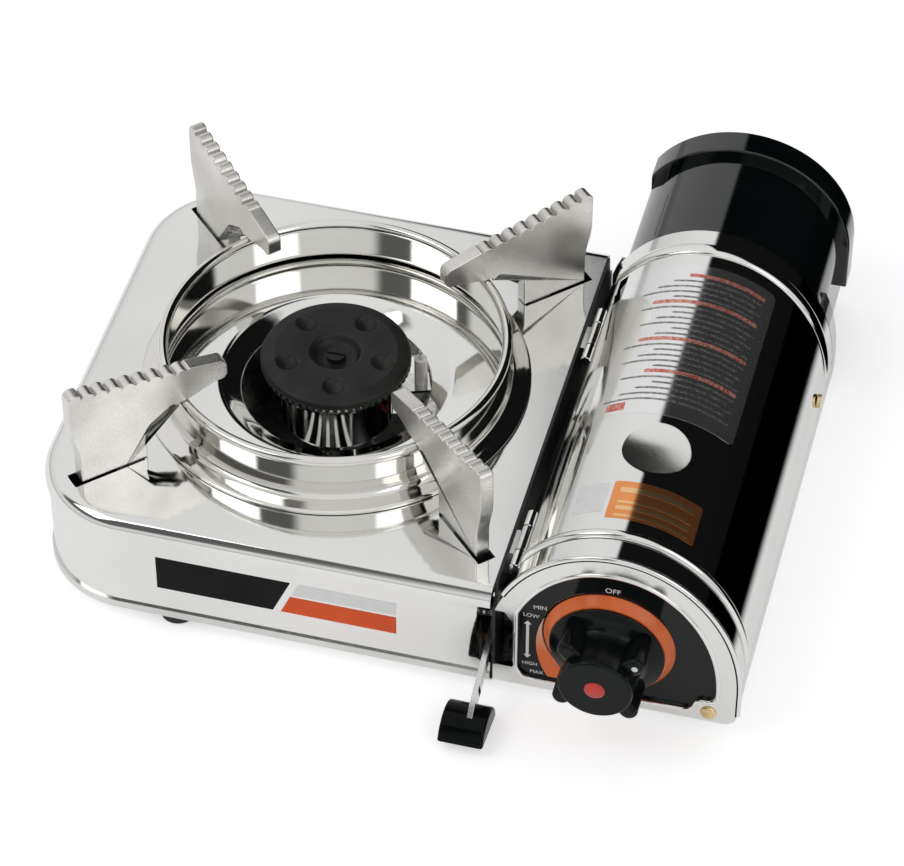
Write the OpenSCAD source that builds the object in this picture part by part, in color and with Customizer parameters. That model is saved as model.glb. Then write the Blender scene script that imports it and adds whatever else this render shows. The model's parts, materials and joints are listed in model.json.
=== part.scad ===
// Butane cassette stove: polished pressed-steel table stove with one burner on the left
// and a cartridge bay under an arched, hinged lid on the right.
// All sizes in millimetres. X runs to the right, Y to the back, Z up.
// Working zero: middle of the bay's arch, front face of the body, table top.

/* [Body] */
// Width of the burner side, from its left wall to the heat shield
burner_side_w = 179; // [172:1:220]
// Front-to-back depth of the body
body_d = 190; // [178:1:230]
// Height of the walls, from the tray's floor to the start of the deck's roll
wall_h = 38.5; // [32:0.5:47]
// Radius of the rolled edge of the deck
roll_r = 6; // [4.5:0.5:7]
// Radius of the left corners in plan
corner_r = 36; // [20:1:45]
// Thickness of the sheet steel
sheet = 1; // [0.8:0.1:1.2]
// Height of the rubber feet
foot_h = 6; // [4:0.5:10]
// Diameter of the rubber feet
foot_d = 14; // [11:0.5:18]
// Distance of the feet from the front and rear walls
foot_inset = 15; // [12:1:24]

/* [Cartridge bay] */
// Width of the bay over its arch
bay_w = 94; // [90:1:116]
// Height of the arch above the body's underside
arch_h = 73.9; // [72:0.5:90]
// Height above the body's underside where the arch's straight legs end
spring_h = 16.7; // [12:0.5:20]
// Diameter of the gas cartridge that the bay takes
cartridge_d = 67.6; // [66:0.1:69]
// Length of the gas cartridge
cartridge_len = 185; // [170:1:190]

/* [Rear cover] */
// Length of the rear cover
cover_len = 72; // [60:1:80]
// How far the cover stands out behind the body when drawn out
cover_out = 50; // [35:1:55]
// Depth of the cover's end flange
flange_d = 12; // [8:1:16]

/* [Trivet] */
// Outer radius of the wind ring's rim
ring_r = 67; // [62:1:72]
// Height of the wind ring over the deck
ring_h = 20.7; // [16:0.5:25]
// Radius that the pan supports reach
support_r = 112; // [104:1:116]
// Height of a pan support's outer tip over the deck
support_h = 44.4; // [38:0.2:52]
// Thickness of a pan support
support_t = 5.6; // [3:0.2:7]
// Teeth along a pan support
support_teeth = 8; // [5:1:9]

/* [Burner] */
// Radius of the burner cap
cap_r = 28.6; // [25:0.2:32]
// Height of the cap's top over the deck
cap_rise = 12.8; // [10:0.2:15]
// Flame ports round the cap
cap_ports = 60; // [40:2:72]
// Bore of the mixing tube
mixing_bore_d = 13; // [10:0.5:16]

/* [Controls] */
// Radius of the knob's skirt
knob_skirt_r = 24.2; // [18:0.2:26]
// How far the knob's face stands in front of the body
knob_out = 23; // [20:0.5:32]
// Radius of the control spindle
stem_r = 4; // [3:0.1:5]
// Distance from the lever's pivot to the middle of its grip
lever_reach = 38.7; // [34:0.1:48]
// Width of the lever's grip
grip_w = 17; // [12:0.5:22]

/* [Fits] */
// Free gap between pieces that move past each other
move_gap = 0.3; // [0.3:0.05:0.5]
// Running clearance of a shaft or pin in its bore, on the radius
run_gap = 0.06; // [0.03:0.01:0.09]

/* [Hidden] */
$fn = 48;
over = 1;

// ---- levels ----
under_z = foot_h;
floor_z = under_z + sheet;
roll_z = floor_z + wall_h;
deck_z = roll_z + roll_r;
spring_z = under_z + spring_h;
arch_top_z = under_z + arch_h;

// ---- plan ----
arch_half = bay_w / 2;
shield_inset = 2;
shield_t = 1.2;
shield_x = -(arch_half - shield_inset);
shield_face = shield_x + shield_t;
left_x = shield_x - burner_side_w;
deck_right = shield_x - 0.3;
burner_from_shield = 85;
burner_x = shield_x - burner_from_shield;
burner_y = body_d / 2;
tray_lip_t = 0.8;
tray_lip_h = 3.4;

// ---- arch ----
arch_rise = arch_top_z - spring_z;
arch_step = 6;
rib_proud = 1.4;
band_d = 11.5;
foot_corner_r = 5;

// ---- lid ----
lid_y0 = band_d + move_gap;
lid_y1 = body_d - 9.7;
lid_hem_z = under_z + 15;
hinge_r = 2.2;
hinge_pin_r = 1;
hinge_z = deck_z + 2;
hinge_x = -arch_x(hinge_z, 0);
hinge_fixed_len = 12;
hinge_lid_len = 8;
hinge_front_y = lid_y0 + 15;
hinge_rear_y = body_d - 51.5;
hinge_ys = [hinge_front_y, hinge_rear_y];
dimple_y = 60;
dimple_r = 20;
dimple_depth = 3.1;

// ---- front ----
panel_inset = 8.2;
panel_left = -34.9;
panel_bottom = under_z + 4.9;
panel_t = 2;
bracket_t = 1.2;
chest_y = sheet + panel_t + bracket_t;
chest_len = 22;
socket_y = chest_y + chest_len + 3.3;
socket_len = 6.5;
knob_x = -1.2;
knob_z = under_z + 31.2;
frame_left = shield_x + 0.7;
window_bottom = under_z + 8.7;
window_top = roll_z - 2;
window_left = shield_x - 5.5;
window_right = shield_x + 8;

// ---- lever ----
lever_x = shield_x - 0.6;
lever_t = 2;
lever_h = 6.5;
pivot_y = 16;
pivot_z = under_z + 18;
pivot_r = 1.6;
lever_slope = 18;
grip_chord = 10.4;
grip_high = 10;
grip_tilt = 8.3;
grip_y = pivot_y - lever_reach;
grip_z = under_z - 2.2;
drive_arm = 12;
drive_r = 1.5;

// ---- yoke ----
yoke_t = 2;
yoke_y = 38;
yoke_foot_z = floor_z + sheet + move_gap;
yoke_travel = 7;

// ---- bay ----
rest_rise = 0.6;
cartridge_r = cartridge_d / 2;
cartridge_z = floor_z + rest_rise + cartridge_r;
wall_lap_top = under_z + 24;
lap_in = sheet + 0.8;

// ---- rear cover ----
cover_side_gap = 5.6;
cover_top_gap = 1.7;
cover_t = 1.2;
cover_r = arch_half - sheet - cover_side_gap;
cover_z = arch_top_z - sheet - cover_top_gap - cover_r;
cover_y1 = body_d + cover_out;
cover_y0 = cover_y1 - cover_len;
cover_hem_z = floor_z + 1;
flange_proud = 3.6;
cover_left = cover_r - 3.2;
rail_h = 3.5;
rail_t = 1;
cover_travel = cover_out - flange_d;
rail_y0 = cover_y0 - cover_travel - 4;

// ---- trivet ----
seat_gap = 0.3;
bead_r = 2;
ring_wall_r = ring_r - 0.8;
ring_t = 1;
ring_foot_r = ring_r + 7.2;
rim_r = cap_r + 7.6;
rim_drop = 4.4;
deck_hole_r = rim_r + 8.8;
support_in_r = 47;
leg_in_r = ring_r + 14.8;
leg_out_r = support_r - 2.8;
tab_depth = 4;
slot_gap = 0.8;

// ---- burner ----
cap_z = deck_z + cap_rise;
cap_t = 5.8;
pot_r = cap_r - 2.6;
cup_r = pot_r - 4.6;
pot_wall = 2;
gas_y = 30;
gas_z = under_z + 14;
pipe_r = 2.5;
pipe_bend_x = shield_x - 9;
mix_angle = atan2(burner_y - gas_y, pipe_bend_x - burner_x);
mix_run = norm([burner_y - gas_y, pipe_bend_x - burner_x]);
mix_start = 14;
mix_wall = 1.5;
pot_neck_r = 14;

// ---- ignition ----
igniter_x = 15.4;
electrode_a = 20;
electrode_at = cap_r + 3.6;
electrode_x = burner_x + electrode_at * cos(electrode_a);
electrode_y = burner_y + electrode_at * sin(electrode_a);
lead_r = 1.2;
lead_y = 35.5;
lead_z = under_z + 18;
// Route of the ignition lead, from the igniter to the electrode
lead_pts = [
    [igniter_x + 5.5, 31.4, under_z + 28], [igniter_x + 5.5, 33.4, under_z + 28],
    [igniter_x - 2, lead_y, under_z + 22], [0, lead_y, lead_z], [-24, lead_y, lead_z],
    [shield_x + 6, lead_y, lead_z], [shield_x - 5, lead_y, lead_z],
    [shield_x - 8, 50, lead_z], [shield_x - 17, 75, under_z + 16],
    [electrode_x + 14, electrode_y - 7, under_z + 16],
    [electrode_x + 3, electrode_y - 1, under_z + 18],
    [electrode_x, electrode_y, deck_z - 22], [electrode_x, electrode_y, deck_z - 16.3]
];

// ---- frame origin: bottom centre of the whole stove's box ----
x_min = left_x - sheet;
x_max = arch_half + rib_proud;
y_min = grip_y - grip_chord * cos(grip_tilt);
y_max = cover_y1;
origin_x = (x_min + x_max) / 2;
origin_y = (y_min + y_max) / 2;

SUPPORTS = [for (i = [1:4]) str("pan_support_", i)];
FEET = [for (i = [1:4]) str("foot_", i)];

// ================= helpers =================

// Moves the working frame so that the origin is the bottom centre of the stove's box
module place() {
    translate([-origin_x, -origin_y, 0]) children();
}

// Extrudes an XZ outline along Y, from y0 over len
module along_y(y0, len) {
    translate([0, y0 + len, 0]) rotate([90, 0, 0]) linear_extrude(len) children();
}

// Extrudes a YZ outline along X, from x0 over len
module along_x(x0, len) {
    translate([x0, 0, 0]) rotate([90, 0, 90]) linear_extrude(len) children();
}

// Round bar along Y, from y0 over len
module bar_y(x, y0, z, r, len) {
    translate([x, y0 + len, z]) rotate([90, 0, 0]) cylinder(h = len, r = r);
}

// Round bar along X, from x0 over len
module bar_x(x0, y, z, r, len) {
    translate([x0, y, z]) rotate([0, 90, 0]) cylinder(h = len, r = r);
}

// Half-width of the arch at height z, at a given inset from its outer face
function arch_x(z, inset) =
    (arch_half - inset) * sqrt(1 - pow((z - spring_z) / (arch_rise - inset), 2));

// The arch's outline: half an ellipse over two straight legs that go down to z_low
function arch_pts(inset, z_low) = concat(
    [[arch_half - inset, z_low]],
    [for (t = [0:arch_step:180])
        [(arch_half - inset) * cos(t), spring_z + (arch_rise - inset) * sin(t)]],
    [[-(arch_half - inset), z_low]]
);

// Hollow arch between two insets
module arch_band(outer, inner, z_low) {
    difference() {
        polygon(arch_pts(outer, z_low));
        polygon(arch_pts(inner, z_low - over));
    }
}

// Everything to the right of x0 and above z0
module right_above(x0, z0) {
    translate([x0, z0]) square([3 * arch_half, 2 * arch_top_z]);
}

// Plan of the burner side at an inset from its outer face: two round left corners
module side_plan(inset, right) {
    r = corner_r - inset;
    for (y = [corner_r, body_d - corner_r]) {
        translate([left_x + corner_r, y]) circle(r = r);
    }
    translate([left_x + inset, corner_r]) square([r, body_d - 2 * corner_r]);
    translate([left_x + corner_r, inset])
        square([right - left_x - corner_r, body_d - 2 * inset]);
}

// Puts its child at each of the four feet
module at_feet(only = 0) {
    left = left_x + 57;
    right = arch_half - 22;
    spots = [[left, foot_inset], [right, foot_inset],
             [left, body_d - foot_inset], [right, body_d - foot_inset]];
    for (i = [1:4]) {
        if (only == 0 || only == i) {
            translate([spots[i - 1][0], spots[i - 1][1], 0]) children();
        }
    }
}

// Slot with round ends, its middle at the origin, long along X
module slot(len, w) {
    for (s = [-1, 1]) {
        translate([s * (len - w) / 2, 0]) circle(d = w, $fn = 24);
    }
    square([len - w, w], center = true);
}

// ================= body =================

// Pressed tray that closes the burner side from below
module base_tray() {
    vents = 5;
    vent_pitch = 14;
    color("lightgray") place() difference() {
        union() {
            translate([0, 0, under_z]) linear_extrude(sheet)
                side_plan(-tray_lip_t, frame_left);
            translate([0, 0, under_z]) linear_extrude(tray_lip_h) difference() {
                side_plan(-tray_lip_t, deck_right);
                side_plan(0, deck_right + over);
            }
        }
        at_feet() cylinder(r = 2, h = floor_z + over);
        translate([burner_x, burner_y, 0]) cylinder(r = 9, h = floor_z + over);
        for (side = [-1, 1], i = [0:vents - 1]) {
            translate([burner_x + (i - (vents - 1) / 2) * vent_pitch,
                       burner_y + side * 46, 0])
                linear_extrude(floor_z + over) rotate(90) slot(34, 5);
        }
    }
}

// Front, left and rear walls of the burner side in one bent strip
module side_shell() {
    window_r = 2;
    color("silver") place() difference() {
        translate([0, 0, floor_z]) linear_extrude(wall_h) difference() {
            side_plan(0, deck_right);
            side_plan(sheet, deck_right + over);
        }
        along_y(-over, 3 * over) {
            translate([window_left + window_r, window_bottom])
                square([2 * arch_half, window_top - window_bottom]);
            translate([window_left, window_bottom + window_r])
                square([2 * window_r, window_top - window_bottom - 2 * window_r]);
            for (z = [window_bottom + window_r, window_top - window_r]) {
                translate([window_left + window_r, z]) circle(r = window_r);
            }
        }
    }
}

// Section of the deck's edge: hem over the wall, then a quarter roll.
// r is measured outwards from the roll's centre line.
module edge_section() {
    outer = roll_r;
    difference() {
        union() {
            circle(r = outer);
            translate([0, -2]) square([outer, 2]);
        }
        circle(r = outer - sheet);
        translate([-2 * outer, -2 * outer]) square([2 * outer, 4 * outer]);
        translate([-over, -2 * outer]) square([outer - sheet + over, 2 * outer]);
        translate([-over, -3 * outer]) square([3 * outer, 3 * outer - 2]);
    }
}

// Polished deck with a rolled edge, the burner's hole and the trivet's slots
module top_deck() {
    run = roll_r - sheet;
    slot_in = leg_in_r + 1.6;
    slot_out = leg_out_r + 3;
    h = deck_hole_r;
    color("gainsboro") place() union() {
        difference() {
            deck_sheet(run);
            translate([burner_x, burner_y, 0]) cylinder(r = h, h = 2 * deck_z, $fn = 96);
            for (i = [0:3]) {
                translate([burner_x, burner_y, deck_z - 2 * sheet]) rotate(45 + 90 * i)
                    translate([slot_in, -(support_t + 2 * slot_gap) / 2, 0])
                        cube([slot_out - slot_in, support_t + 2 * slot_gap, 4 * sheet]);
            }
        }
        // funnel round the burner's hole
        translate([burner_x, burner_y, deck_z]) rotate_extrude($fn = 96) polygon([
            [h + 1.5, 0], [h - 0.4, 0], [h - 1.2, -0.2], [rim_r + 1.6, 0.8 - rim_drop],
            [rim_r + 0.4, 0.2 - rim_drop], [rim_r, -rim_drop], [rim_r + 0.1, -0.6 - rim_drop],
            [rim_r + 0.7, -0.9 - rim_drop], [rim_r + 2.2, -0.3 - rim_drop], [h - 0.8, -1.2],
            [h, -sheet], [h + 1.5, -sheet]
        ]);
    }
}

// Flat top and rolled edges of the burner side's deck
module deck_sheet(run) {
    union() {
        translate([0, 0, deck_z - sheet]) linear_extrude(sheet)
            side_plan(run, deck_right);
        // left edge
        translate([left_x + run, body_d - corner_r, roll_z]) mirror([1, 0, 0])
            rotate([90, 0, 0]) linear_extrude(body_d - 2 * corner_r) edge_section();
        // front edge
        translate([left_x + corner_r, run, roll_z]) rotate([90, 0, 90])
            linear_extrude(deck_right - left_x - corner_r) mirror([1, 0])
                edge_section();
        // rear edge
        translate([left_x + corner_r, body_d - run, roll_z]) rotate([90, 0, 90])
            linear_extrude(deck_right - left_x - corner_r) edge_section();
        // corners
        for (c = [[corner_r, 180], [body_d - corner_r, 90]]) {
            translate([left_x + corner_r, c[0], roll_z]) rotate(c[1])
                rotate_extrude(angle = 90, $fn = 96)
                    translate([corner_r - run, 0]) edge_section();
        }
    }
}

// Upright plate between the burner side and the bay, with a foot on the bay's floor
module heat_shield() {
    top = deck_z + 1.5;
    y0 = sheet + 0.3;
    y1 = body_d - y0;
    foot_w = 8;
    color("dimgray") place() difference() {
        union() {
            along_x(shield_x, shield_t) polygon([
                [y0, floor_z], [y1, floor_z], [y1, roll_z - 3], [y1 - 4, roll_z],
                [y1 - 4.7, top], [5, top], [5, roll_z], [y0, roll_z - 3]
            ]);
            translate([shield_face - 0.2, y0, floor_z])
                cube([foot_w, rail_y0 - 1 - y0, sheet]);
        }
        // gas pipe
        bar_x(shield_x - over, gas_y, gas_z, pipe_r + 0.5, 4);
        // ignition lead
        bar_x(shield_x - over, lead_y, lead_z, lead_r + 0.5, 4);
        // travel of the lever's drive pin
        along_x(shield_x - over, 4)
            translate([pivot_y - drive_r - 1, pivot_z + drive_arm - 5.5])
                square([yoke_travel + 2 * drive_r + 2.4, 8]);
        // air slots
        for (i = [0:6]) {
            translate([shield_x - over, 60 + 17 * i, under_z + 26])
                rotate([90, 0, 90]) linear_extrude(4) slot(11, 4);
        }
    }
}

// Floor and right wall of the bay, bent from one sheet with a round lower corner
module bay_trough() {
    r = foot_corner_r;
    color("silver") place() difference() {
        union() {
            along_y(sheet, body_d - sheet) {
                translate([frame_left + 0.4, under_z])
                    square([arch_half - r - frame_left - 0.4, sheet]);
                intersection() {
                    difference() {
                        translate([arch_half - r, under_z + r]) circle(r = r);
                        translate([arch_half - r, under_z + r]) circle(r = r - sheet);
                    }
                    translate([arch_half - r, under_z]) square([r, r]);
                }
                translate([arch_half - sheet, under_z + r])
                    square([sheet, lid_hem_z - move_gap - under_z - r]);
            }
            // stepped edge that the closed lid laps over
            along_y(lid_y0 + 1, lid_y1 - lid_y0 - 2) {
                translate([arch_half - sheet - lap_in, lid_hem_z - move_gap - sheet])
                    square([lap_in + sheet / 2, sheet]);
                translate([arch_half - sheet - lap_in, lid_hem_z - move_gap - sheet])
                    square([sheet, wall_lap_top - lid_hem_z + sheet]);
            }
        }
        at_feet() cylinder(r = 2, h = floor_z + over);
        for (i = [0:3]) {
            translate([0, 62 + 26 * i, 0]) linear_extrude(floor_z + over) slot(30, 5);
        }
    }
}

// Opening of the front face that shows the control panel
module panel_opening(grow) {
    notch_z = under_z + 11;
    notch_x = arch_half - 20;
    difference() {
        intersection() {
            polygon(arch_pts(panel_inset - grow, 0));
            right_above(panel_left - grow, panel_bottom - grow);
        }
        polygon([[notch_x + grow, 0], [notch_x + 4.5 + grow, notch_z - grow],
                 [2 * arch_half, notch_z - grow], [2 * arch_half, 0]]);
    }
}

// Outline of the front face: the arch, cut off along the heat shield
module front_outline(inset) {
    r = foot_corner_r - inset;
    intersection() {
        union() {
            difference() {
                polygon(arch_pts(inset, under_z + inset));
                translate([arch_half - foot_corner_r, 0])
                    square([foot_corner_r + over, under_z + foot_corner_r]);
            }
            translate([arch_half - foot_corner_r, under_z + foot_corner_r]) circle(r = r);
        }
        right_above(frame_left, under_z);
    }
}

// Polished front face with its opening, beads and the fixed band behind it
module front_frame() {
    bead_w = 1.7;
    bead_out = 0.8;
    color("gainsboro") place() union() {
        difference() {
            along_y(0, sheet) front_outline(0);
            along_y(-over, 4) panel_opening(0);
            along_y(-over, 4) polygon([
                [frame_left - over, window_bottom], [window_right, window_bottom],
                [window_right, window_top - 5], [window_right - 3, window_top],
                [frame_left - over, window_top]
            ]);
            bar_y(arch_half - 10.4, -over, under_z + 3.3 + 1.5, 1.5, 4);
        }
        along_y(-bead_out, bead_out) difference() {
            panel_opening(bead_w);
            panel_opening(0);
        }
        // band behind the face, and the bead on its front edge
        along_y(sheet, band_d - sheet) intersection() {
            arch_band(0, sheet, lid_hem_z);
            union() {
                right_above(0, lid_hem_z);
                right_above(-2 * arch_half, roll_z + 2);
            }
        }
        along_y(0, 2.2) intersection() {
            arch_band(-rib_proud + 0.2, 0, under_z + foot_corner_r);
            union() {
                right_above(0, under_z + foot_corner_r);
                right_above(-2 * arch_half, deck_z);
            }
        }
    }
}

// Outline of the rear cover: a half circle over two straight legs that end at z_low,
// flattened on its left
module cover_outline(inset, z_low) {
    r = cover_r - inset;
    intersection() {
        union() {
            translate([0, cover_z]) circle(r = r, $fn = 96);
            translate([-r, z_low]) square([2 * r, cover_z - z_low]);
        }
        translate([inset - cover_left, z_low]) square([2 * cover_r + 10, 2 * cover_r]);
    }
}

// U-shaped frame at the back of the bay, open for the rear cover
module rear_frame() {
    t = 1.2;
    y0 = body_d - 2;
    cheek_top = roll_z + 4.5;
    color("silver") place() union() {
        along_y(y0, t) difference() {
            intersection() {
                front_outline(sheet);
                right_above(shield_face + 0.3, floor_z);
                translate([-2 * arch_half, 0]) square([4 * arch_half, cheek_top]);
            }
            cover_outline(-0.7, floor_z + 0.6);
        }
        along_y(lid_y1 + 2 * move_gap, y0 + t - lid_y1 - 2 * move_gap) intersection() {
            arch_band(0, sheet, lid_hem_z);
            translate([0, lid_hem_z]) square([2 * arch_half, cheek_top - lid_hem_z]);
        }
    }
}

// ================= front controls =================

// Black panel behind the opening of the front face
module control_panel() {
    color([0.08, 0.08, 0.09]) place() difference() {
        along_y(sheet, panel_t) intersection() {
            panel_opening(2);
            front_outline(sheet + 0.6);
        }
        bar_y(knob_x, 0, knob_z, stem_r + 0.6, 6);
    }
}

// Orange ring round the knob: a short tube on the panel with a convex flange
module dial_ring() {
    r = knob_skirt_r - 1;
    color("orangered") place() translate([knob_x, sheet, knob_z]) rotate([90, 0, 0])
        rotate_extrude($fn = 96) polygon([
            [r, 0], [r + 0.8, 0], [r + 0.8, 2.3], [r + 3.6, 2.5], [r + 3.9, 2.9],
            [r + 3.4, 3.5], [r + 2.1, 3.8], [r + 0.7, 3.6], [r, 3.1]
        ]);
}

// Brass dome screw in the corner of the front face
module dome_screw() {
    head_r = 3.1;
    color("goldenrod") place() translate([arch_half - 10.4, 0, under_z + 3.3 + 1.5])
        rotate([90, 0, 0]) union() {
            intersection() {
                translate([0, 0, -3]) sphere(r = 4.6);
                cylinder(r = head_r, h = 4);
            }
            translate([0, 0, -4]) cylinder(r = 1.4, h = 4.5);
        }
}

// Bent bracket that carries the regulator behind the panel
module regulator_bracket() {
    t = bracket_t;
    y0 = sheet + panel_t;
    color("lightgray") place() difference() {
        union() {
            along_y(y0, t) translate([-24, floor_z + sheet + 0.2]) square([46, 46]);
            translate([-24, y0, floor_z]) cube([46, 9, t]);
        }
        bar_y(knob_x, 0, knob_z, stem_r + 1, 8);
        translate([12, 0, under_z + 40]) cube([30, 10, 40]);
    }
}

// Die-cast gas regulator: valve chest, diaphragm housing and outlet boss
module regulator_body() {
    chest_r = 11.5;
    y0 = chest_y;
    dish_x = knob_x + 2;
    dish_y = 19.2;
    dish_z = yoke_foot_z + 3;
    color("darkgray") place() difference() {
        union() {
            bar_y(knob_x, y0, knob_z, chest_r, chest_len);
            translate([dish_x, dish_y, dish_z]) cylinder(r = 14.5, h = 7);
            translate([dish_x, dish_y, dish_z + 6]) cylinder(r = 8, h = 14);
            bar_y(0, y0 + chest_len - 5, cartridge_z, 15, 8.3);
            bar_x(knob_x - 24, gas_y - 7.5, gas_z + 6, 5, 24);
            // elbow block that turns the outlet down to the pipe
            translate([knob_x - 24, gas_y - 12, gas_z - 5]) cube([9, 15.4, 15.5]);
        }
        bar_y(knob_x, y0 - over, knob_z, stem_r + run_gap, 15 + over);
        bar_y(0, y0 + chest_len - 6, cartridge_z, 3, 12);
        bar_x(knob_x - 24 - over, gas_y, gas_z, pipe_r + run_gap, 6 + over);
    }
}

// Brass socket that takes the cartridge's nozzle
module cartridge_socket() {
    y0 = socket_y;
    color("goldenrod") place() difference() {
        union() {
            bar_y(0, y0, cartridge_z, 9, 4);
            bar_y(0, y0 + 4, cartridge_z, 6, socket_len - 4);
        }
        bar_y(0, y0 - over, cartridge_z, 2.2, 10);
        bar_y(0, y0 + 5, cartridge_z, 3.4, 3);
    }
}

// Rubber seal in the socket's mouth
module socket_seal() {
    y0 = socket_y + 5;
    color([0.15, 0.15, 0.15]) place() difference() {
        bar_y(0, y0, cartridge_z, 3.35, 1.3);
        bar_y(0, y0 - over, cartridge_z, 2.4, 4);
    }
}

// Piezo igniter beside the regulator, worked by the knob's spindle
module igniter() {
    w = 11;
    y0 = chest_y + 0.1;
    mid = igniter_x + w / 2;
    color([0.2, 0.2, 0.22]) place() union() {
        translate([igniter_x, y0, under_z + 20]) cube([w, 19, 16]);
        bar_y(mid, y0 + 19, under_z + 28, 3.6, 6);
        bar_y(mid, y0 + 25, under_z + 28, 1.8, 2);
    }
}

// ================= gas line and burner =================

// Copper pipe from the regulator through the shield, with an elbow towards the burner
module gas_pipe() {
    x_end = knob_x - 24 + 5;
    tail = mix_start - 6;
    elbow_r = 3.6;
    color("peru") place() difference() {
        union() {
            bar_x(pipe_bend_x, gas_y, gas_z, pipe_r, x_end - pipe_bend_x);
            translate([pipe_bend_x, gas_y, gas_z - elbow_r]) cylinder(r = elbow_r, h = 2 * elbow_r);
            translate([pipe_bend_x, gas_y, gas_z]) rotate(180 - mix_angle)
                rotate([0, 90, 0]) cylinder(r = pipe_r, h = tail);
        }
        bar_x(pipe_bend_x, gas_y, gas_z, pipe_r - 0.8, 60);
        translate([pipe_bend_x, gas_y, gas_z]) rotate(180 - mix_angle)
            rotate([0, 90, 0]) cylinder(r = pipe_r - 1, h = tail + over);
    }
}

// Brass jet on the pipe's end
module jet_nozzle() {
    color("goldenrod") place() translate([pipe_bend_x, gas_y, gas_z])
        rotate(180 - mix_angle) translate([mix_start - 6, 0, 0]) rotate([0, 90, 0])
            union() {
                cylinder(r = 4.6, h = 5, $fn = 6);
                translate([0, 0, 5]) cylinder(r = 2.6, h = 4);
            }
}

// Venturi tube from the jet to the burner's cup
module mixing_tube() {
    r = mixing_bore_d / 2;
    len = mix_run - mix_start - pot_neck_r + 1.5;
    color("darkgray") place() translate([pipe_bend_x, gas_y, gas_z])
        rotate(180 - mix_angle) translate([mix_start, 0, 0]) rotate([0, 90, 0])
            rotate_extrude() polygon([
                [r + 2.5, 0], [r + 2.5 + mix_wall, 0], [r + mix_wall, 7],
                [r - 1 + mix_wall, 16], [r + mix_wall, 28], [r + mix_wall, len],
                [r, len], [r, 28], [r - 1, 16], [r, 7]
            ]);
}

// Cup and neck under the cap, with the inlet for the mixing tube
module burner_base() {
    top = cap_z - cap_t - 0.1;
    bottom = gas_z - 10;
    inlet_r = mixing_bore_d / 2 + mix_wall;
    cone = gas_z + inlet_r + 0.6;
    color("silver") place() difference() {
        translate([burner_x, burner_y, 0]) rotate_extrude($fn = 96) polygon([
            [0, bottom], [pot_neck_r - 2, bottom], [pot_neck_r, bottom + 2],
            [pot_neck_r, cone], [cup_r - 0.6, cone + 4], [cup_r, cone + 5.4],
            [cup_r, top - 6.4], [pot_r, top - 2.6], [pot_r, top],
            [pot_r - pot_wall, top], [pot_r - pot_wall, top - 1.8],
            [cup_r - pot_wall, top - 5.4], [cup_r - pot_wall, cone + 6.6],
            [pot_neck_r - pot_wall, cone + 1.2], [pot_neck_r - pot_wall, bottom + 2.5],
            [0, bottom + 2.5]
        ]);
        translate([pipe_bend_x, gas_y, gas_z]) rotate(180 - mix_angle)
            translate([mix_start, 0, 0]) rotate([0, 90, 0])
                cylinder(r = inlet_r + run_gap, h = mix_run - mix_start);
    }
}

// Bent strip that holds the cup over the tray
module burner_bracket() {
    w = 14;
    t = 1.5;
    span = 44;
    top = gas_z - 10 - 0.05;
    color("lightgray") place() translate([burner_x, burner_y, 0]) rotate(90)
        rotate([90, 0, 0]) linear_extrude(w, center = true) polygon([
            [-span / 2 - 10, floor_z], [-span / 2, floor_z], [-span / 2 + 4, top - t],
            [span / 2 - 4, top - t], [span / 2, floor_z], [span / 2 + 10, floor_z],
            [span / 2 + 10, floor_z + t], [span / 2 + 1, floor_z + t],
            [span / 2 - 3, top], [-span / 2 + 3, top], [-span / 2 - 1, floor_z + t],
            [-span / 2 - 10, floor_z + t]
        ]);
}

// Cast cap with five dimples, a screw recess and slotted flame ports
module burner_cap() {
    recess_r = 8.6;
    dimple_at = 19;
    port_h = 3.4;
    color([0.09, 0.09, 0.1]) place() translate([burner_x, burner_y, cap_z - cap_t])
        difference() {
            rotate_extrude($fn = 96) polygon([
                [1.8, 2.4], [recess_r - 1, 2.4], [recess_r, 4.6], [recess_r + 1.4, 5.6],
                [cap_r - 5, cap_t], [cap_r - 1.2, cap_t - 0.7], [cap_r, cap_t - 2.2],
                [cap_r, 0.8], [cap_r - 0.8, 0], [cap_r - 5.2, 0], [cap_r - 6.2, 2.2],
                [recess_r + 3, 2.2], [recess_r + 1, 0.6], [1.8, 0.6]
            ]);
            for (i = [0:4]) {
                rotate(72 * i - 4) translate([dimple_at, 0, cap_t + 3.1]) sphere(r = 5.4);
            }
            for (i = [0:cap_ports - 1]) {
                rotate(i * 360 / cap_ports) translate([cap_r - 2.4, -0.6, -over])
                    cube([6, 1.2, port_h - 1.2 + over]);
            }
        }
}

// Screw in the cap's middle
module cap_screw() {
    color("silver") place() translate([burner_x, burner_y, cap_z - cap_t]) difference() {
        union() {
            translate([0, 0, 2.5]) cylinder(r = 3.6, h = 1.8);
            translate([0, 0, -2]) cylinder(r = 1.6, h = 5);
        }
        translate([-4, -0.5, 3.6]) cube([8, 1, 2]);
    }
}

// Puts its child where the electrode stands beside the burner
module at_electrode() {
    place() translate([burner_x, burner_y, 0]) rotate(electrode_a) children();
}

// Strip that holds the electrode on the cup
module electrode_bracket() {
    z = deck_z - 7.4;
    color("lightgray") at_electrode() difference() {
        translate([cup_r - 0.4, -5, z]) cube([electrode_at - cup_r + 3.8, 10, 1.2]);
        translate([electrode_at, 0, 0]) cylinder(r = 2.6, h = 2 * deck_z);
        cylinder(r = cup_r + 0.05, h = 2 * deck_z);
    }
}

// White ceramic rod of the electrode
module electrode_insulator() {
    z = deck_z - 14;
    color("white") at_electrode() translate([electrode_at, 0, z]) difference() {
        union() {
            cylinder(r = 2.5, h = 20);
            translate([0, 0, 3]) cylinder(r = 3.6, h = 3.4);
        }
        translate([0, 0, -over]) cylinder(r = 0.7, h = 30);
    }
}

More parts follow.
